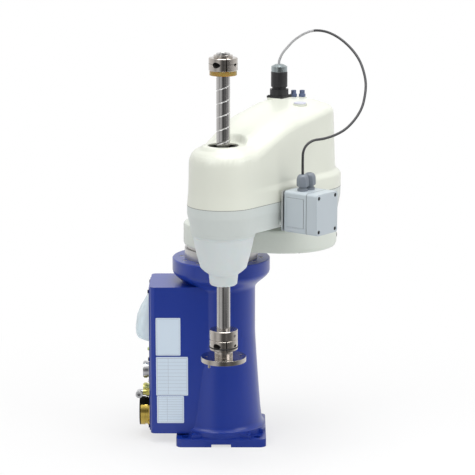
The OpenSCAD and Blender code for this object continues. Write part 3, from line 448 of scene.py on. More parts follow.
def oxide(name, colour, roughness):
    """Black oxide on steel screws, worn a little lighter in spots."""
    f = Finish(name, Metallic=0.85)
    place = f.coords()
    worn = f.noise(place, 260, 4)
    return f.surface(
        Base_Color=f.mix(shade(colour, 0.75), shade(colour, 1.5), worn),
        Roughness=roughness + (worn - 0.5) * 0.25,
        Normal=f.bump(worn, 0.00005, 0.35),
    )


def cable_jacket(name, pale_end=0.195, sharpness=400.0):
    """Smooth cable jacket: pale on the first share of its length, black after it."""
    f = Finish(name)
    along = f.add("Attribute", {"attribute_name": "along"}, output="Fac")
    pale_part = f.add("Clamp", {}, {"Value": (pale_end - along) * sharpness + 0.5})
    fine = f.noise(f.coords(), 900)
    black = f.mix(shade((0.018, 0.018, 0.020)), shade((0.04, 0.04, 0.045)), fine)
    return f.surface(
        Base_Color=f.mix(black, shade((0.42, 0.42, 0.43)), pale_part),
        Roughness=0.42 + (fine - 0.5) * 0.12,
        Normal=f.bump(fine, 0.00004, 0.3),
    )


def film(name):
    """Clear, slightly blue film of the bag over an unused opening."""
    f = Finish(name, Coat_Weight=0.3, Coat_Roughness=0.1, IOR=1.45)
    crease = f.noise(f.coords(stretch=(1, 1, 0.35)), 75, 3)
    cloud = f.noise(f.coords(), 30)
    return f.surface(
        Base_Color=f.mix(shade((0.66, 0.84, 0.93)), shade((0.88, 0.97, 0.99)), cloud),
        Roughness=0.22 + cloud * 0.15,
        Alpha=0.62 + (crease - 0.5) * 0.35,
        Normal=f.bump(crease, 0.0012, 0.6),
    )


def ruled(name, left, right, bottom, top, pitch, inset=2.2, line=0.35, split=0.38):
    """White vinyl plate with a thin grey frame and, where pitch is given, empty ruled rows.

    inset and line are the frame's distance from the edge and width, split is where its column is.
    """
    f = Finish(name, Coat_Weight=0.25, Coat_Roughness=0.15)
    x, _, z = f.millimetres()
    outside, inside = (
        band(x, left + gap, right - gap) * band(z, bottom + gap, top - gap)
        for gap in (inset, inset + line))
    lines = outside - inside
    if pitch:
        row = f.maths("FRACT", (z - bottom - inset) / pitch)
        column = f.maths("ABSOLUTE", x - (left + (right - left) * split))
        drawn = f.maths("MINIMUM", (row < line / pitch) + (column < line / 2), 1.0)
        lines = lines + drawn * inside
    fine = f.noise(f.coords(), 900)
    return f.surface(
        Base_Color=f.mix(shade((0.65, 0.755, 0.86)), shade((0.22, 0.25, 0.30)), lines * 0.8),
        Roughness=0.38 + (fine - 0.5) * 0.12,
        Normal=f.bump(fine, 0.00003, 0.3),
    )


@cache
def finishes():
    """All finishes by short name, with the colours that the panel shows, made once."""
    c = bpy.context.scene.arm_colours
    shaft, elbow = ((at.x * MM, at.y * MM, 0.0) for at in (SHAFT, ELBOW))
    plug = tuple(arm2_point(*CABLE_ROUTE[0][:2], 0) * MM)
    sideways = (0, math.radians(90), 0)
    pale_metal = ((0.56, 0.57, 0.58), (0.68, 0.68, 0.69))
    made = {
        "column": enamel("column_enamel", c.column, 0.34, 0.25, bolt_shadow),
        "arm": enamel("arm_enamel", c.arms, 0.42, 0.2),
        "lower": enamel("lower_casting_enamel", c.lower, 0.45, 0.15, split_shadow),
        "cover": moulding(
            "cover_moulding", c.cover, 0.36, 1500, split_shadow, Coat_Weight=0.15,
            Coat_Roughness=0.2),
        "funnel": moulding(
            "funnel_moulding", c.funnel, 0.48, 1500, Subsurface_Weight=0.15,
            Subsurface_Scale=0.004),
        "shaft": turned("shaft_ground_steel", c.steel, 0.2, shaft, pitch=500, groove_highlight="groove"),
        "collar": turned(
            "collar_turned_steel", c.collars, 0.22, shaft, pitch=500, shadow=collar_shadow),
        "flange": turned("flange_turned_steel", c.collars, 0.18, shaft, pitch=450),
        "inner_steel": turned("inner_steel", c.steel, 0.35, elbow),
        "ring_steel": turned("shoulder_ring_steel", c.steel, 0.32, (0, 0, 0)),
        "aluminium": plating("bare_aluminium", *pale_metal, 0.34),
        "encoder": turned("encoder_shell", (0.60, 0.60, 0.61), 0.3, (0, 0, 0.133), sideways),
        "brass": turned(
            "plated_brass", (0.64, 0.47, 0.11), 0.28, (0, 0, 0.049), sideways, 900,
            shadow=cap_face_and_reflection),
        "elbow": plating("elbow_plating", *pale_metal, 0.3, nut=(0.62, 0.56, 0.16)),
        "zinc": plating("yellow_zinc", (0.62, 0.56, 0.18), (0.55, 0.68, 0.36), 0.3),
        "motor": moulding("motor_paint", (0.025, 0.025, 0.028), 0.55, 900),
        "black": moulding("black_plastic", (0.014, 0.014, 0.016), 0.42, 1300),
        "grey": moulding("gland_plastic", c.gland, 0.42, 1300),
        "pale": moulding("cap_plastic", (0.56, 0.57, 0.66), 0.4, 1300),
        "navy": moulding("fitting_plastic", (0.10, 0.13, 0.24), 0.4, 1300),
        "box": moulding(
            "box_plastic", c.box, 0.38, 1200, box_shadow, Coat_Weight=0.1, Coat_Roughness=0.25),
        "screw": oxide("black_oxide", (0.022, 0.021, 0.023), 0.42),
        "clamp": turned("clamp_metal", (0.36, 0.41, 0.42), 0.3, plug),
        "belt": moulding("belt_rubber", (0.015, 0.015, 0.016), 0.7, 700),
        "amber": moulding(
            "amber_urethane", c.amber, 0.28, 700, Transmission_Weight=0.25,
            Subsurface_Weight=0.3, Subsurface_Scale=0.006),
        "cable": cable_jacket("cable_jacket"),
        "film": film("bag_film"),
    }
    for name, *sizes in PLATES:
        made[name] = ruled(name + "_vinyl", *sizes)
    return made


# Making pieces


def link(name, data):
    """A new object in the scene."""
    made = bpy.data.objects.new(name, data)
    bpy.context.scene.collection.objects.link(made)
    return made


def mesh_from(name, bm):
    """A new mesh from a bmesh, which is freed."""
    mesh = bpy.data.meshes.new(name)
    bm.to_mesh(mesh)
    bm.free()
    return mesh


def place_piece(name, bm, finish, slot, body, sharp=35.0):
    """A new piece from a bmesh in millimetres, smooth except at sharp edges, riding on a body."""
    bmesh.ops.recalc_face_normals(bm, faces=bm.faces[:])
    bmesh.ops.scale(bm, vec=(MM, MM, MM), verts=bm.verts[:])
    return place_mesh(mesh_from(name, bm), finish, slot, body, sharp)


def place_mesh(mesh, finish, slot, body, sharp=35.0):
    """A new piece from a mesh in metres that is in its place."""
    mesh.shade_smooth()
    mesh.set_sharp_from_angle(angle=math.radians(sharp))
    mesh.materials.append(finishes()[finish].material)
    piece = link(mesh.name, mesh)
    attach(piece, body)
    return piece


def merge(bm, distance=1e-4):
    """Merge vertices that lie together."""
    bmesh.ops.remove_doubles(bm, verts=bm.verts[:], dist=distance)


def finished(node, finish, slot, edge, corner=28.0, shape=None):
    """A copy of a CAD node with rounded edges and smooth faces, which stands for that node.

    Edges sharper than corner, in degrees, are rounded by edge, in metres. Before that, shape is
    given the copy's bmesh, in metres too.
    """
    source = frame["nodes"][node]
    bm = bmesh.new()
    bm.from_mesh(source.data)
    merge(bm, 2e-6)
    bmesh.ops.dissolve_limit(
        bm, angle_limit=math.radians(0.3), verts=bm.verts[:], edges=bm.edges[:])
    if shape:
        shape(bm)
    corners = [
        e for e in bm.edges
        if len(e.link_faces) == 2 and e.calc_face_angle(0.0) > math.radians(corner)]
    bmesh.ops.bevel(
        bm, geom=corners, offset=edge, segments=2, profile=0.5, affect="EDGES", material=-1,
        clamp_overlap=True)
    bmesh.ops.dissolve_degenerate(bm, dist=3e-6, edges=bm.edges[:])
    mesh = mesh_from(node + "_finished", bm)
    piece = place_mesh(mesh, finish, slot, source["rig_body"])
    piece.modifiers.new("even_shading", "WEIGHTED_NORMAL").keep_sharp = True
    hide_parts(node)


def turn_on_shaft(bm, degrees, low=0.0, high=1000.0):
    """Turn what lies between two heights about the shaft's axis, in a bmesh in metres."""
    bmesh.ops.rotate(
        bm, cent=SHAFT * MM, matrix=Matrix.Rotation(math.radians(degrees), 3, "Z"),
        verts=[v for v in bm.verts if low < v.co.z / MM < high])


def lay(bm, turns, at):
    """Turn all of a bmesh by angles about row axes, one after the other, then move it."""
    for angle, axis in turns:
        bmesh.ops.rotate(
            bm, cent=(0, 0, 0), matrix=Matrix.Rotation(angle, 3, axis), verts=bm.verts[:])
    bmesh.ops.translate(bm, vec=at, verts=bm.verts[:])


def spin_round(bm, centre, steps):
    """Spin a bmesh's outline a whole turn about an upright axis."""
    bmesh.ops.spin(
        bm, geom=bm.verts[:] + bm.edges[:], cent=centre, axis=(0, 0, 1), angle=TURN,
        steps=steps, use_merge=True)


def new_edges(made):
    """The edges among what an operator made."""
    return [e for e in made if isinstance(e, bmesh.types.BMEdge)]


def between(stops, value):
    """A number drawn straight between stops, each a place and the number there."""
    return float(numpy.interp(value, *zip(*stops)))


def ease(low, high, value):
    """Smooth step from 0 at low to 1 at high."""
    share = min(max((value - low) / (high - low), 0.0), 1.0)
    return share * share * (3 - 2 * share)


def painted(node, finish):
    """A CAD node that stays as it is and gets its finish."""
    piece = frame["nodes"][node]
    for place in piece.material_slots:
        place.material = finishes()[finish].material


def catmull(route, steps):
    """Points of a smooth line through a route."""
    points = []
    for i in range(len(route) - 1):
        a, b, c, d = (Vector(route[min(max(i + k, 0), len(route) - 1)]) for k in (-1, 0, 1, 2))
        for s in range(steps):
            t = s / steps
            points.append(0.5 * (2 * b + (c - a) * t + (2 * a - 5 * b + 4 * c - d) * t * t
                                 + (3 * b - a - 3 * c + d) * t * t * t))
    points.append(Vector(route[-1]))
    return points


def tube(bm, sides, count):
    """Put a grid in an empty bmesh, to be bent into a tube: each vertex, its ring and its angle."""
    bmesh.ops.create_grid(bm, x_segments=sides, y_segments=count, size=0.5)
    for vert in bm.verts:
        yield vert, round((vert.co.y + 0.5) * count), (vert.co.x + 0.5) * TURN


def swept(points, radius, sides):
    """A closed tube along points, with each vertex's share of the length as its attribute."""
    count = len(points) - 1
    run = [0.0]
    for a, b in zip(points, points[1:]):
        run.append(run[-1] + (b - a).length)
    tangents = [(points[min(i + 1, count)] - points[max(i - 1, 0)]).normalized()
                for i in range(count + 1)]
    side = tangents[0].orthogonal().normalized()
    frames = []
    for i, tangent in enumerate(tangents):
        if i:
            side = tangents[i - 1].rotation_difference(tangent) @ side
        frames.append((side.copy(), tangent.cross(side)))
    bm = bmesh.new()
    along = bm.verts.layers.float.new("along")
    for vert, i, angle in tube(bm, sides, count):
        vert[along] = run[i] / run[-1]
        n, b = frames[i]
        vert.co = points[i] + radius * (math.cos(angle) * n + math.sin(angle) * b)
    merge(bm)
    bmesh.ops.holes_fill(bm, edges=[e for e in bm.edges if e.is_boundary], sides=0)
    return bm, run[-1]


# Operators, one for each piece or group of pieces


class ARM_OT_camera(bpy.types.Operator):
    """Make the camera at the photograph's viewing angle"""

    bl_idname = "arm.camera"
    bl_label = "Camera"

    def execute(self, context):
        data = bpy.data.cameras.new("photo_camera")
        data.sensor_width = 36.0
        data.lens = data.sensor_width * FOCAL_PX / FRAME_PX
        data.clip_end = 60
        camera = link("photo_camera", data)
        camera.location = Vector(CAMERA_AT) * MM
        camera.rotation_euler = (math.radians(CAMERA_TILT), 0, 0)
        context.scene.camera = camera
        return {"FINISHED"}


class ARM_OT_cable(bpy.types.Operator):
    """Make the signal cable from the plug on the cover to the gland of the junction box"""

    bl_idname = "arm.cable"
    bl_label = "Signal cable"

    def execute(self, context):
        diameter = context.scene.arm_sizes.cable_d
        points = [arm2_point(p.x, p.y, SPLIT_Z + p.z) for p in catmull(CABLE_ROUTE, ROUTE_STEPS)]
        bm, length = swept(points, diameter / MM / 2, CABLE_SIDES)
        cable = place_piece("signal_cable_run", bm, "cable", "cable_jacket", "arm_2")
        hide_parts("signal_cable")
        path = [tuple(p * MM) for p in points]
        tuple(path[0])
        return {"FINISHED"}


class ARM_OT_castings(bpy.types.Operator):
    """Finish the painted castings of the base and the two arms, and the shoulder's ring"""

    bl_idname = "arm.castings"
    bl_label = "Castings"

    def execute(self, context):
        sizes = context.scene.arm_sizes
        for node, finish, slot, edge in (
            ("base_casting", "column", "blue_paint", sizes.edge),
            ("connector_panel", "column", "blue_paint", sizes.small_edge),
            ("arm1_casting", "arm", "cream_paint", sizes.edge),
            ("arm1_bottom_cover", "arm", "cream_paint", sizes.small_edge),
            ("arm2_casting", "lower", "cream_paint", sizes.edge),
            ("j1_reducer", "ring_steel", "ground_steel", sizes.small_edge),
        ):
            finished(node, finish, slot, edge)
        return {"FINISHED"}


class ARM_OT_covers(bpy.types.Operator):
    """Finish the moulded covers above and below arm 2"""

    bl_idname = "arm.covers"
    bl_label = "Moulded covers"

    # Flat seat about the shaft's hole: its height, where it starts to rise and where it ends
    seat_z = 612.0
    seat_r = (37.0, 46.0)
    # Radius of the cover's finer grid about the shaft, the grid's lowest height and its spacing
    fine_r, fine_z, fine_step = 70, 580, 3
    # The reworked radius, and the radius whose height stands for all inside the hole's rim
    work_r, rim_r = 56, 29.0
    # Lift of the nose, over a range of distances from the elbow and one of heights
    nose_lift = 8.0
    nose_ahead = (200, 245)
    nose_rise = (540, 595)
    # Height on the funnel and how much fuller it is drawn there
    fuller = (
        (362, 1.03), (370, 1.06), (376, 1.15), (382, 1.16), (390, 1.08), (400, 1.02), (412, 1.0))

    def execute(self, context):
        edge = context.scene.arm_sizes.edge
        finished("arm2_cover", "cover", "cream_plastic", edge, 40, self.seated)
        finished("funnel_cover", "funnel", "funnel_plastic", edge, 40, self.filled_out)
        painted("shaft_wiper", "black")
        return {"FINISHED"}

    def seated(self, bm):
        """Lift the cover's nose and sink a flat round seat about the shaft's hole."""
        self.refine(bm)
        skin = BVHTree.FromBMesh(bm)
        along = heading(ARM2_TURN).xy
        moves = {}
        for vert in bm.verts:
            place = vert.co / MM
            if place.z < self.nose_rise[0]:
                continue
            out = (place - SHAFT).xy
            lift = self.nose_lift * ease(*self.nose_ahead, ARM2_LENGTH + out.dot(along))
            if out.length > self.work_r:
                moves[vert] = lift * ease(*self.nose_rise, place.z)
                continue
            spot = (SHAFT.xy + out.normalized() * max(out.length, self.rim_r)) * MM
            hit = skin.ray_cast(Vector((spot.x, spot.y, 1.0)), Vector((0, 0, -1)))[0]
            top = hit.z / MM
            lifted = top + lift * ease(*self.nose_rise, top)
            wanted = self.seat_z + (lifted - self.seat_z) * ease(*self.seat_r, out.length)
            moves[vert] = wanted - top
        for vert, rise in moves.items():
            vert.co.z += rise * MM

    def refine(self, bm):
        """Cut a grid into the cover's top about the shaft."""
        for turn in (0, 90):
            across = Matrix.Rotation(math.radians(turn), 3, "Z") @ Vector((1, 0, 0))
            for step in range(-50, 51, self.fine_step):
                near = []
                for face in bm.faces:
                    middle = face.calc_center_median() / MM
                    if (middle - SHAFT).xy.length < self.fine_r and middle.z > self.fine_z:
                        near.append(face)
                geom = {part for face in near for part in (*face.edges, *face.verts, face)}
                bmesh.ops.bisect_plane(
                    bm, geom=list(geom), dist=1e-6, plane_no=across,
                    plane_co=SHAFT * MM + across * step * MM)
        bmesh.ops.triangulate(bm, faces=[f for f in bm.faces if len(f.verts) > 4])

    def filled_out(self, bm):
        """Draw the funnel fuller above its neck."""
        axis = (SHAFT * MM).xy
        for vert in bm.verts:
            if self.fuller[0][0] <= vert.co.z / MM < self.fuller[-1][0]:
                vert.co.xy = axis + (vert.co.xy - axis) * between(self.fuller, vert.co.z / MM)


class ARM_OT_shaft(bpy.types.Operator):
    """Make the ball screw spline shaft with its helical and straight grooves"""

    bl_idname = "arm.shaft"
    bl_label = "Ball screw shaft"

    radius = 12.5
    bore = 7.0
    chamfer = 0.5
    # Heights: lower end, lower ends of the straight and the helical grooves, their top, upper end
    low, spline_low, helix_low, helix_high, high = 206.5, 264.5, 470.0, 741.6, 781.7
    helix_step = 0.8
    screw_half_w = 0.95
    # Depth in the helical groove at which its painted highlight is full
    highlight_depth = 0.4
    # Three straight grooves: half width, depth and where the first one is
    spline_half_w = 1.48
    spline_depth = 0.8
    spline_turn = math.radians(-50)

    def execute(self, context):
        sizes = context.scene.arm_sizes
        lead = sizes.screw_lead / MM
        levels = self.levels()
        climb = math.cos(math.atan(lead / (TURN * self.radius)))
        bm = bmesh.new()
        groove = bm.verts.layers.float.new("groove")
        for vert, ring, angle in tube(bm, sizes.shaft_sides, len(levels) - 1):
            z = levels[ring]
            cut = 0.0
            if self.spline_low <= z <= self.helix_high:
                third = (angle - self.spline_turn) % (TURN / 3)
                third = min(third, TURN / 3 - third) * self.radius
                cut = self.hollow(third, self.spline_half_w, self.spline_depth)
            if self.helix_low <= z <= self.helix_high:
                rise = (z - lead * angle / TURN) % lead
                rise = min(rise, lead - rise) * climb
                helix = self.hollow(rise, self.screw_half_w, sizes.screw_depth / MM)
                vert[groove] = min(1.0, helix / self.highlight_depth)
                cut = max(cut, helix)
            r = self.radius - cut
            vert.co = (SHAFT.x + r * math.cos(angle), SHAFT.y + r * math.sin(angle), z)
        merge(bm)
        self.bored(bm)
        piece = place_piece("grooved_shaft", bm, "shaft", "ground_steel", "quill", sharp=40)
        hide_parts("shaft")
        return {"FINISHED"}

    def levels(self):
        """Heights of the shaft's rings of vertices, close together along the helical groove."""
        reach = self.helix_high - self.helix_low
        steps = round(reach / self.helix_step)
        return [self.low, self.spline_low - 0.05, self.spline_low,
                *(self.helix_low + i * reach / steps for i in range(steps + 1)),
                self.helix_high + 0.05, self.high]

    def bored(self, bm):
        """Close both ends round a through bore with chamfered mouths."""
        middle = (self.low + self.high) / 2
        for z in (self.high, self.low):
            rim = [e for e in bm.edges if e.is_boundary and abs(e.verts[0].co.z - z) < 0.01]
            inward = z + math.copysign(self.chamfer, middle - z)
            for radius, height in (
                    (self.bore + self.chamfer, z), (self.bore, inward), (self.bore, middle)):
                made = bmesh.ops.extrude_edge_only(bm, edges=rim)["geom"]
                rim = [e for e in new_edges(made) if all(v in made for v in e.verts)]
                for vert in {v for e in rim for v in e.verts}:
                    flat = (vert.co - SHAFT).xy.normalized() * radius
                    vert.co = (SHAFT.x + flat.x, SHAFT.y + flat.y, height)
        merge(bm, 1e-3)

    @staticmethod
    def hollow(distance, half_w, depth):
        """Depth of a round groove at a distance from its middle."""
        return depth * math.sqrt(1 - (distance / half_w) ** 2) if distance < half_w else 0.0


class ARM_OT_collars(bpy.types.Operator):
    """Finish the stoppers, the clamp collar and the tool flange on the shaft"""

    bl_idname = "arm.collars"
    bl_label = "Collars and tool flange"

    # Degrees by which each collar is turned on the shaft, and the screws between two heights
    turns = {"top_stopper": 27, "lower_stopper": 117, "clamp_collar": 27}
    screws = ((740, 790, 27), (226, 246, 27), (246, 266, 117))
    # O-ring: radius of its middle line, half its thickness and its height
    ring_r, ring_half, ring_z = 26.5, 1.05, 231.3
    # Set screw: radius, socket's radius, length, socket's depth, its outer end, direction, height
    set_r, socket_r, set_length, socket_depth = 2.5, 1.3, 1.2, 1.4
    set_out, set_way, set_z = 26.55, math.radians(-38), 255.2

    def execute(self, context):
        edge = context.scene.arm_sizes.small_edge
        finished("end_ring", "collar", "ground_steel", edge)
        for node, turn in self.turns.items():
            finished(
                node, "collar", "ground_steel", edge, shape=partial(turn_on_shaft, degrees=turn))
        finished("tool_flange", "flange", "ground_steel", edge * 2)
        finished("tool_pin", "collar", "ground_steel", edge)
        finished("stopper_bumper", "amber", "amber_urethane", edge)
        finished("collar_screws", "screw", "dark_steel", edge, shape=self.turned_screws)
        place_piece("collar_o_ring", self.o_ring(), "belt", "belt_rubber", "quill")
        place_piece("stopper_set_screw", self.set_screw(), "screw", "dark_steel", "quill")
        return {"FINISHED"}

    def turned_screws(self, bm):
        """Turn each clamp screw with its collar."""
        for low, high, turn in self.screws:
            turn_on_shaft(bm, turn, low, high)

    def o_ring(self):
        """Black ring in the groove of the clamp collar."""
        bm = bmesh.new()
        bmesh.ops.create_circle(bm, segments=12, radius=self.ring_half)
        lay(bm, [(math.pi / 2, "X")], (SHAFT.x + self.ring_r, SHAFT.y, self.ring_z))
        spin_round(bm, SHAFT, 96)
        return bm

    def set_screw(self):
        """Set screw in the lower stopper, with its hexagonal socket."""
        bm = bmesh.new()
        rim = bmesh.ops.create_circle(bm, segments=36, radius=self.set_r)["verts"]
        socket = bmesh.ops.create_circle(bm, segments=6, radius=self.socket_r)["verts"]
        bmesh.ops.bridge_loops(bm, edges=bm.edges[:])
        for loop, depth in ((rim, self.set_length), (socket, self.socket_depth)):
            edges = list({e for v in loop for e in v.link_edges if e.is_boundary})
            made = bmesh.ops.extrude_edge_only(bm, edges=edges)["geom"]
            ends = [v for v in made if isinstance(v, bmesh.types.BMVert)]
            bmesh.ops.translate(bm, vec=(0, 0, -depth), verts=ends)
        bmesh.ops.holes_fill(bm, edges=[e for e in bm.edges if e.is_boundary], sides=0)
        out = heading(self.set_way) * self.set_out
        lay(bm, [(math.pi / 2, "Y"), (self.set_way, "Z")],
            (SHAFT.x + out.x, SHAFT.y + out.y, self.set_z))
        return bm


class ARM_OT_connectors(bpy.types.Operator):
    """Finish the connectors, fittings and screws on the rear panel and on the cover"""

    bl_idname = "arm.connectors"
    bl_label = "Connectors and screws"

    def execute(self, context):
        for finish, slot, nodes in (
            ("brass", "plated_brass", ("power_connector",)),
            ("brass", "black_plastic", ("power_cap",)),
            ("encoder", "bare_aluminium", ("encoder_connector",)),
            ("zinc", "yellow_zinc", ("io_connector",)),
            ("elbow", "bare_aluminium", ("elbow_fitting",)),
            ("black", "black_plastic", ("top_receptacle", "cable_plug")),
            ("clamp", "ground_steel", ("plug_clamp",)),
            ("navy", "black_plastic", ("air_fittings",)),
            ("pale", "grey_plastic", ("cover_cap",)),
            ("aluminium", "dark_steel", ("flange_bolts",)),
            ("screw", "dark_steel", ("panel_screws", "arm1_screws", "cover_screws")),
        ):
            for node in nodes:
                finished(node, finish, slot, context.scene.arm_sizes.small_edge)
        return {"FINISHED"}


class ARM_OT_junction_box(bpy.types.Operator):
    """Finish the junction box with its bracket, lid, screws and glands"""

    bl_idname = "arm.junction_box"
    bl_label = "Junction box"

    def execute(self, context):
        sizes = context.scene.arm_sizes
        finished("box_bracket", "aluminium", "bare_aluminium", sizes.small_edge)
        finished("box_body", "box", "box_plastic", sizes.edge)
        finished("box_lid", "box", "box_plastic", sizes.edge)
        finished("lid_screws", "screw", "dark_steel", sizes.small_edge)
        for node, mouth in (("cable_gland", self.open_mouth), ("blank_gland", self.plug)):
            piece = place_piece(
                node + "_nut", self.gland(node, mouth), "grey", "grey_plastic", "arm_2")
            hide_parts(node)
        return {"FINISHED"}

    # Outline of a gland as radii and heights above the box, from its top to its thread, then what
    # stands in its mouth: the cable's hole or a plug
    gland_side = (
        (5.2, 31), (7.6, 30), (9.7, 27), (10.9, 23.5), (11.3, 20), (11.3, 10), (10.4, 8.7),
        (7.6, 8.4), (7.6, 4.2), (9.4, 4.0), (9.8, 3.5), (9.8, 0), (7.8, 0), (7.8, -8.9))
    gland_flat = 9.79
    open_mouth = ((2.7, 29.5), (3.1, 31))
    plug = ((0.0, 30.2), (3.0, 30.2), (3.3, 31))

    def gland(self, node, mouth):
        """Gland with a collar, a neck and a domed hexagonal nut, at a node's place."""
        low, high = (Vector(corner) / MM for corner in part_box(node))
        middle = (low + high) / 2
        inner = mouth[0][0]
        side = [*mouth, *self.gland_side, (inner, self.gland_side[-1][1])]
        if inner:
            side.append(side[0])
        bm = bmesh.new()
        points = [bm.verts.new((r, 0, z)) for r, z in side]
        for pair in zip(points, points[1:]):
            bm.edges.new(pair)
        spin_round(bm, (0, 0, 0), 72)
        merge(bm)
        for turn in range(30, 390, 60):
            out = heading(math.radians(turn))
            cut = bmesh.ops.bisect_plane(
                bm, geom=bm.verts[:] + bm.edges[:] + bm.faces[:], dist=1e-5,
                plane_co=out * self.gland_flat, plane_no=out, clear_outer=True)["geom_cut"]
            bmesh.ops.contextual_create(bm, geom=new_edges(cut))
        top = self.gland_side[0][1]
        lay(bm, [(ARM2_TURN, "Z")], (middle.x, middle.y, high.z - top))
        return bm


class ARM_OT_dust_bag(bpy.types.Operator):
    """Make the soft clear bag over the opening high on the rear panel"""

    bl_idname = "arm.dust_bag"
    bl_label = "Dust bag"

    # Height and depth of the bag's outline, from its bottom seam to its top
    outline = (
        (192.4, 0), (193.4, 8), (195.8, 15), (199.6, 23.5), (206.7, 26.6), (221.8, 26.8),
        (245.3, 23.6), (263.6, 16.4), (284.4, 4.6), (297.5, 0.8), (298.5, 0))
    half_w_low, half_w_high = 26.0, 12.0
    # Powers that say how full its ends, how quick its taper and how round its front are
    fullness, taper, roundness = 0.22, 1.6, 0.75
    gap = 0.3
    fold_depth, folds = 0.04, 11

    def execute(self, context):
        bm = bmesh.new()
        bmesh.ops.create_uvsphere(bm, u_segments=72, v_segments=48, radius=1.0)
        low, high = self.outline[0][0], self.outline[-1][0]
        for vert in bm.verts:
            x, y, z = vert.co
            ring = max(math.hypot(x, y), 1e-6)
            fill = (1 - min(z * z, 1.0)) ** self.fullness
            share = (z + 1) / 2
            level = low + (high - low) * share
            width = self.half_w_low + (self.half_w_high - self.half_w_low) * share ** self.taper
            wave = math.sin(y / ring * self.folds + share * 4)
            fold = 1 + self.fold_depth * wave * (0.4 + share)
            out = max(0.0, -x / ring) ** self.roundness * between(self.outline, level) * fold
            vert.co = (PANEL_X - self.gap - out, y / ring * fill * width, level)
        merge(bm)
        bag = place_piece("clear_dust_bag", bm, "film", "bag_film", "base", sharp=80)
        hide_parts("dust_bag")
        return {"FINISHED"}


class ARM_OT_plates(bpy.types.Operator):
    """Make the blank plates on the side of the connector box"""

    bl_idname = "arm.plates"
    bl_label = "Blank plates"

    corner_r = 1.5

    def execute(self, context):
        thick = context.scene.arm_sizes.plate_t / MM
        for name, left, right, bottom, top, _ in PLATES:
            bm = bmesh.new()
            bmesh.ops.create_cube(bm, size=1.0)
            bmesh.ops.scale(bm, vec=(right - left, thick, top - bottom), verts=bm.verts[:])
            across = [e for e in bm.edges if abs(e.verts[0].co.y - e.verts[1].co.y) > thick / 2]
            bmesh.ops.bevel(
                bm, geom=across, offset=self.corner_r, segments=4, profile=0.5, affect="EDGES",
                material=-1)
            lay(bm, [], ((left + right) / 2, BOX_SIDE_Y - thick / 2, (bottom + top) / 2))
            place_piece(name, bm, name, "box_plastic", "base")
        return {"FINISHED"}


class ARM_OT_drives(bpy.types.Operator):
    """Finish the motors, flanges, belts, pulleys and nuts inside the castings"""

    bl_idname = "arm.drives"
    bl_label = "Drives inside"

    def execute(self, context):
        for finish, slot, nodes in (
            ("motor", "motor_black", ("j1_motor", "j2_motor", "z_motor", "t_motor")),
            ("aluminium", "bare_aluminium", ("j1_motor_plate", "motor_brackets")),
            ("ring_steel", "ground_steel", ("j1_output_flange",)),
            ("inner_steel", "ground_steel",
             ("j2_output_flange", "j2_reducer", "nut_bridge", "nut_bearings", "spline_nut",
              "screw_nut")),
            ("inner_steel", "bare_aluminium",
             ("z_motor_pulley", "t_motor_pulley", "t_pulley", "z_pulley")),
            ("belt", "belt_rubber", ("z_belt", "t_belt")),
        ):
            for node in nodes:
                painted(node, finish)
        return {"FINISHED"}


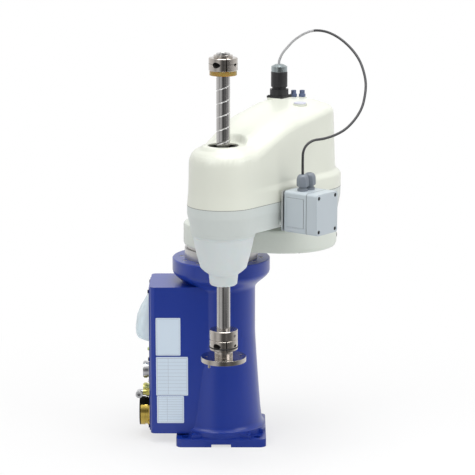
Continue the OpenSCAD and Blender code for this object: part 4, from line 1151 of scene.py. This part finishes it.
class ARM_OT_stage(bpy.types.Operator):
    """Make the pale floor, the white surroundings and the soft lamps"""

    bl_idname = "arm.stage"
    bl_label = "Stage"

    # Name, place, width and watts of each lamp, and where all of them point
    lamps = (
        ("key_lamp", (-2.4, -2.2, 2.9), 2.0, 38),
        ("fill_lamp", (2.8, -1.8, 1.7), 2.0, 31),
        ("top_lamp", (0.35, -0.45, 3.2), 2.4, 80),
    )
    aim = (0, 0, 0.4)
    soft_light = 0.34
    # Share of white in the floor near the object, and over which distances it becomes all white
    near_white = 0.66
    fade = (0.15, 0.9)
    # Brightness of the studio's wall, from its back by the left and the front to its back again,
    # and of its ceiling, with the heights over which the wall goes over to it
    ceiling_tone = 0.9
    ceiling = (0.30, 0.75)
    walls = (
        (0.0, 1.0), (0.083, 1.0), (0.194, 0.9), (0.278, 0.75), (0.325, 0.38), (0.361, 0.62),
        (0.403, 0.75), (0.439, 0.45), (0.467, 0.12), (0.514, 0.07), (0.556, 0.20), (0.597, 0.12),
        (0.653, 0.18), (0.708, 0.50), (0.764, 0.80), (0.861, 1.0), (1.0, 1.0),
    )

    def execute(self, context):
        bm = bmesh.new()
        bmesh.ops.create_circle(bm, cap_ends=True, segments=96, radius=9.0)
        floor = link("floor", mesh_from("floor", bm))
        floor.data.materials.append(self.floor_material())
        self.surroundings(context.scene)
        for name, at, size, power in self.lamps:
            data = bpy.data.lights.new(name, "AREA")
            data.shape, data.size, data.energy = "SQUARE", size, power
            lamp = link(name, data)
            lamp.location = at
            toward = Vector(self.aim) - lamp.location
            lamp.rotation_euler = toward.to_track_quat("-Z", "Y").to_euler()
        return {"FINISHED"}

    def floor_material(self):
        """Matt floor that fades into the white of the surroundings."""
        f = Finish(
            "pale_floor", Base_Color=shade((0.86, 0.86, 0.86)), Roughness=0.9,
            Specular_IOR_Level=0.0)
        x, y, _ = f.parts(f.coords())
        fade = self.step(f, away(x, y), self.fade, (self.near_white, 1.0))
        tone = self.seen_white(f, self.wall(f, x, y))
        white = f.add("Emission", {}, {"Color": (1, 1, 1, 1), "Strength": tone})
        plain = Value(f, f.shader.outputs[0])
        mixed = f.add("MixShader", {}, {0: fade * f.seen(), 1: plain, 2: white})
        output = next(n for n in f.tree.nodes if n.type == "OUTPUT_MATERIAL")
        f.feed(output.inputs["Surface"], mixed)
        return f.material

    @staticmethod
    def step(nodes, value, span, tones):
        """A smooth step between two tones over a span of a value."""
        sockets = ("From Min", "From Max", "To Min", "To Max")
        return nodes.add(
            "MapRange", {"interpolation_type": "SMOOTHSTEP"},
            {"Value": value, **dict(zip(sockets, (*span, *tones)))})

    @staticmethod
    def seen_white(nodes, tone):
        """White for the camera and a tone for gloss."""
        camera = nodes.add("LightPath", output="Is Camera Ray")
        return nodes.add("Mix", {}, {0: camera, 2: tone, 3: 1.0})

    def wall(self, nodes, x, y):
        """How bright the studio's wall is in the direction x, y."""
        turn = nodes.maths("ARCTAN2", x, 0.0 - y)
        return nodes.add("ValToRGB", {"stops": self.walls}, {"Fac": turn / TURN + 0.5})

    def surroundings(self, scene):
        """White for the camera and soft light for the object; gloss shows the studio's walls."""
        world = bpy.data.worlds.new("surroundings")
        scene.world = world
        world.use_nodes = True
        world.node_tree.nodes.clear()
        w = Nodes(world.node_tree)
        x, y, z = w.parts(w.add("TexCoord", output="Generated"))
        ceiling = self.step(w, z, self.ceiling, (0.0, 1.0))
        room = w.add("Mix", {}, {0: ceiling, 2: self.wall(w, x, y), 3: self.ceiling_tone})
        soft, white = (
            w.add("Background", {}, {"Color": (1, 1, 1, 1), "Strength": strength})
            for strength in (self.soft_light, self.seen_white(w, room)))
        mixed = w.add("MixShader", {}, {0: w.seen(), 1: soft, 2: white})
        w.add("OutputWorld", {}, {"Surface": mixed})
        scene.view_settings.view_transform = "Standard"


class ARM_PT_panel(bpy.types.Panel):
    """Sizes, colours and pieces of the arm"""

    bl_idname = "ARM_PT_panel"
    bl_label = "Four-axis arm"
    bl_space_type = "VIEW_3D"
    bl_region_type = "UI"
    bl_category = "Arm"

    def draw(self, context):
        for group in (context.scene.arm_sizes, context.scene.arm_colours):
            box = self.layout.box()
            for name in group.bl_rna.properties.keys():
                if name not in ("rna_type", "name"):
                    box.prop(group, name)
        for operator in OPERATORS:
            self.layout.operator(operator.bl_idname)


OPERATORS = (
    ARM_OT_camera, ARM_OT_cable, ARM_OT_castings, ARM_OT_covers, ARM_OT_shaft, ARM_OT_collars,
    ARM_OT_connectors, ARM_OT_junction_box, ARM_OT_dust_bag, ARM_OT_plates, ARM_OT_drives,
    ARM_OT_stage,
)
CLASSES = (ArmSizes, ArmColours) + OPERATORS + (ARM_PT_panel,)


def register():
    for cls in CLASSES:
        bpy.utils.register_class(cls)
    bpy.types.Scene.arm_sizes = PointerProperty(type=ArmSizes)
    bpy.types.Scene.arm_colours = PointerProperty(type=ArmColours)


def unregister():
    del bpy.types.Scene.arm_colours
    del bpy.types.Scene.arm_sizes
    for cls in reversed(CLASSES):
        bpy.utils.unregister_class(cls)


def main():
    register()
    for operator in OPERATORS:
        getattr(bpy.ops.arm, operator.bl_idname.removeprefix("arm."))()


if __name__ == "__main__":
    main()
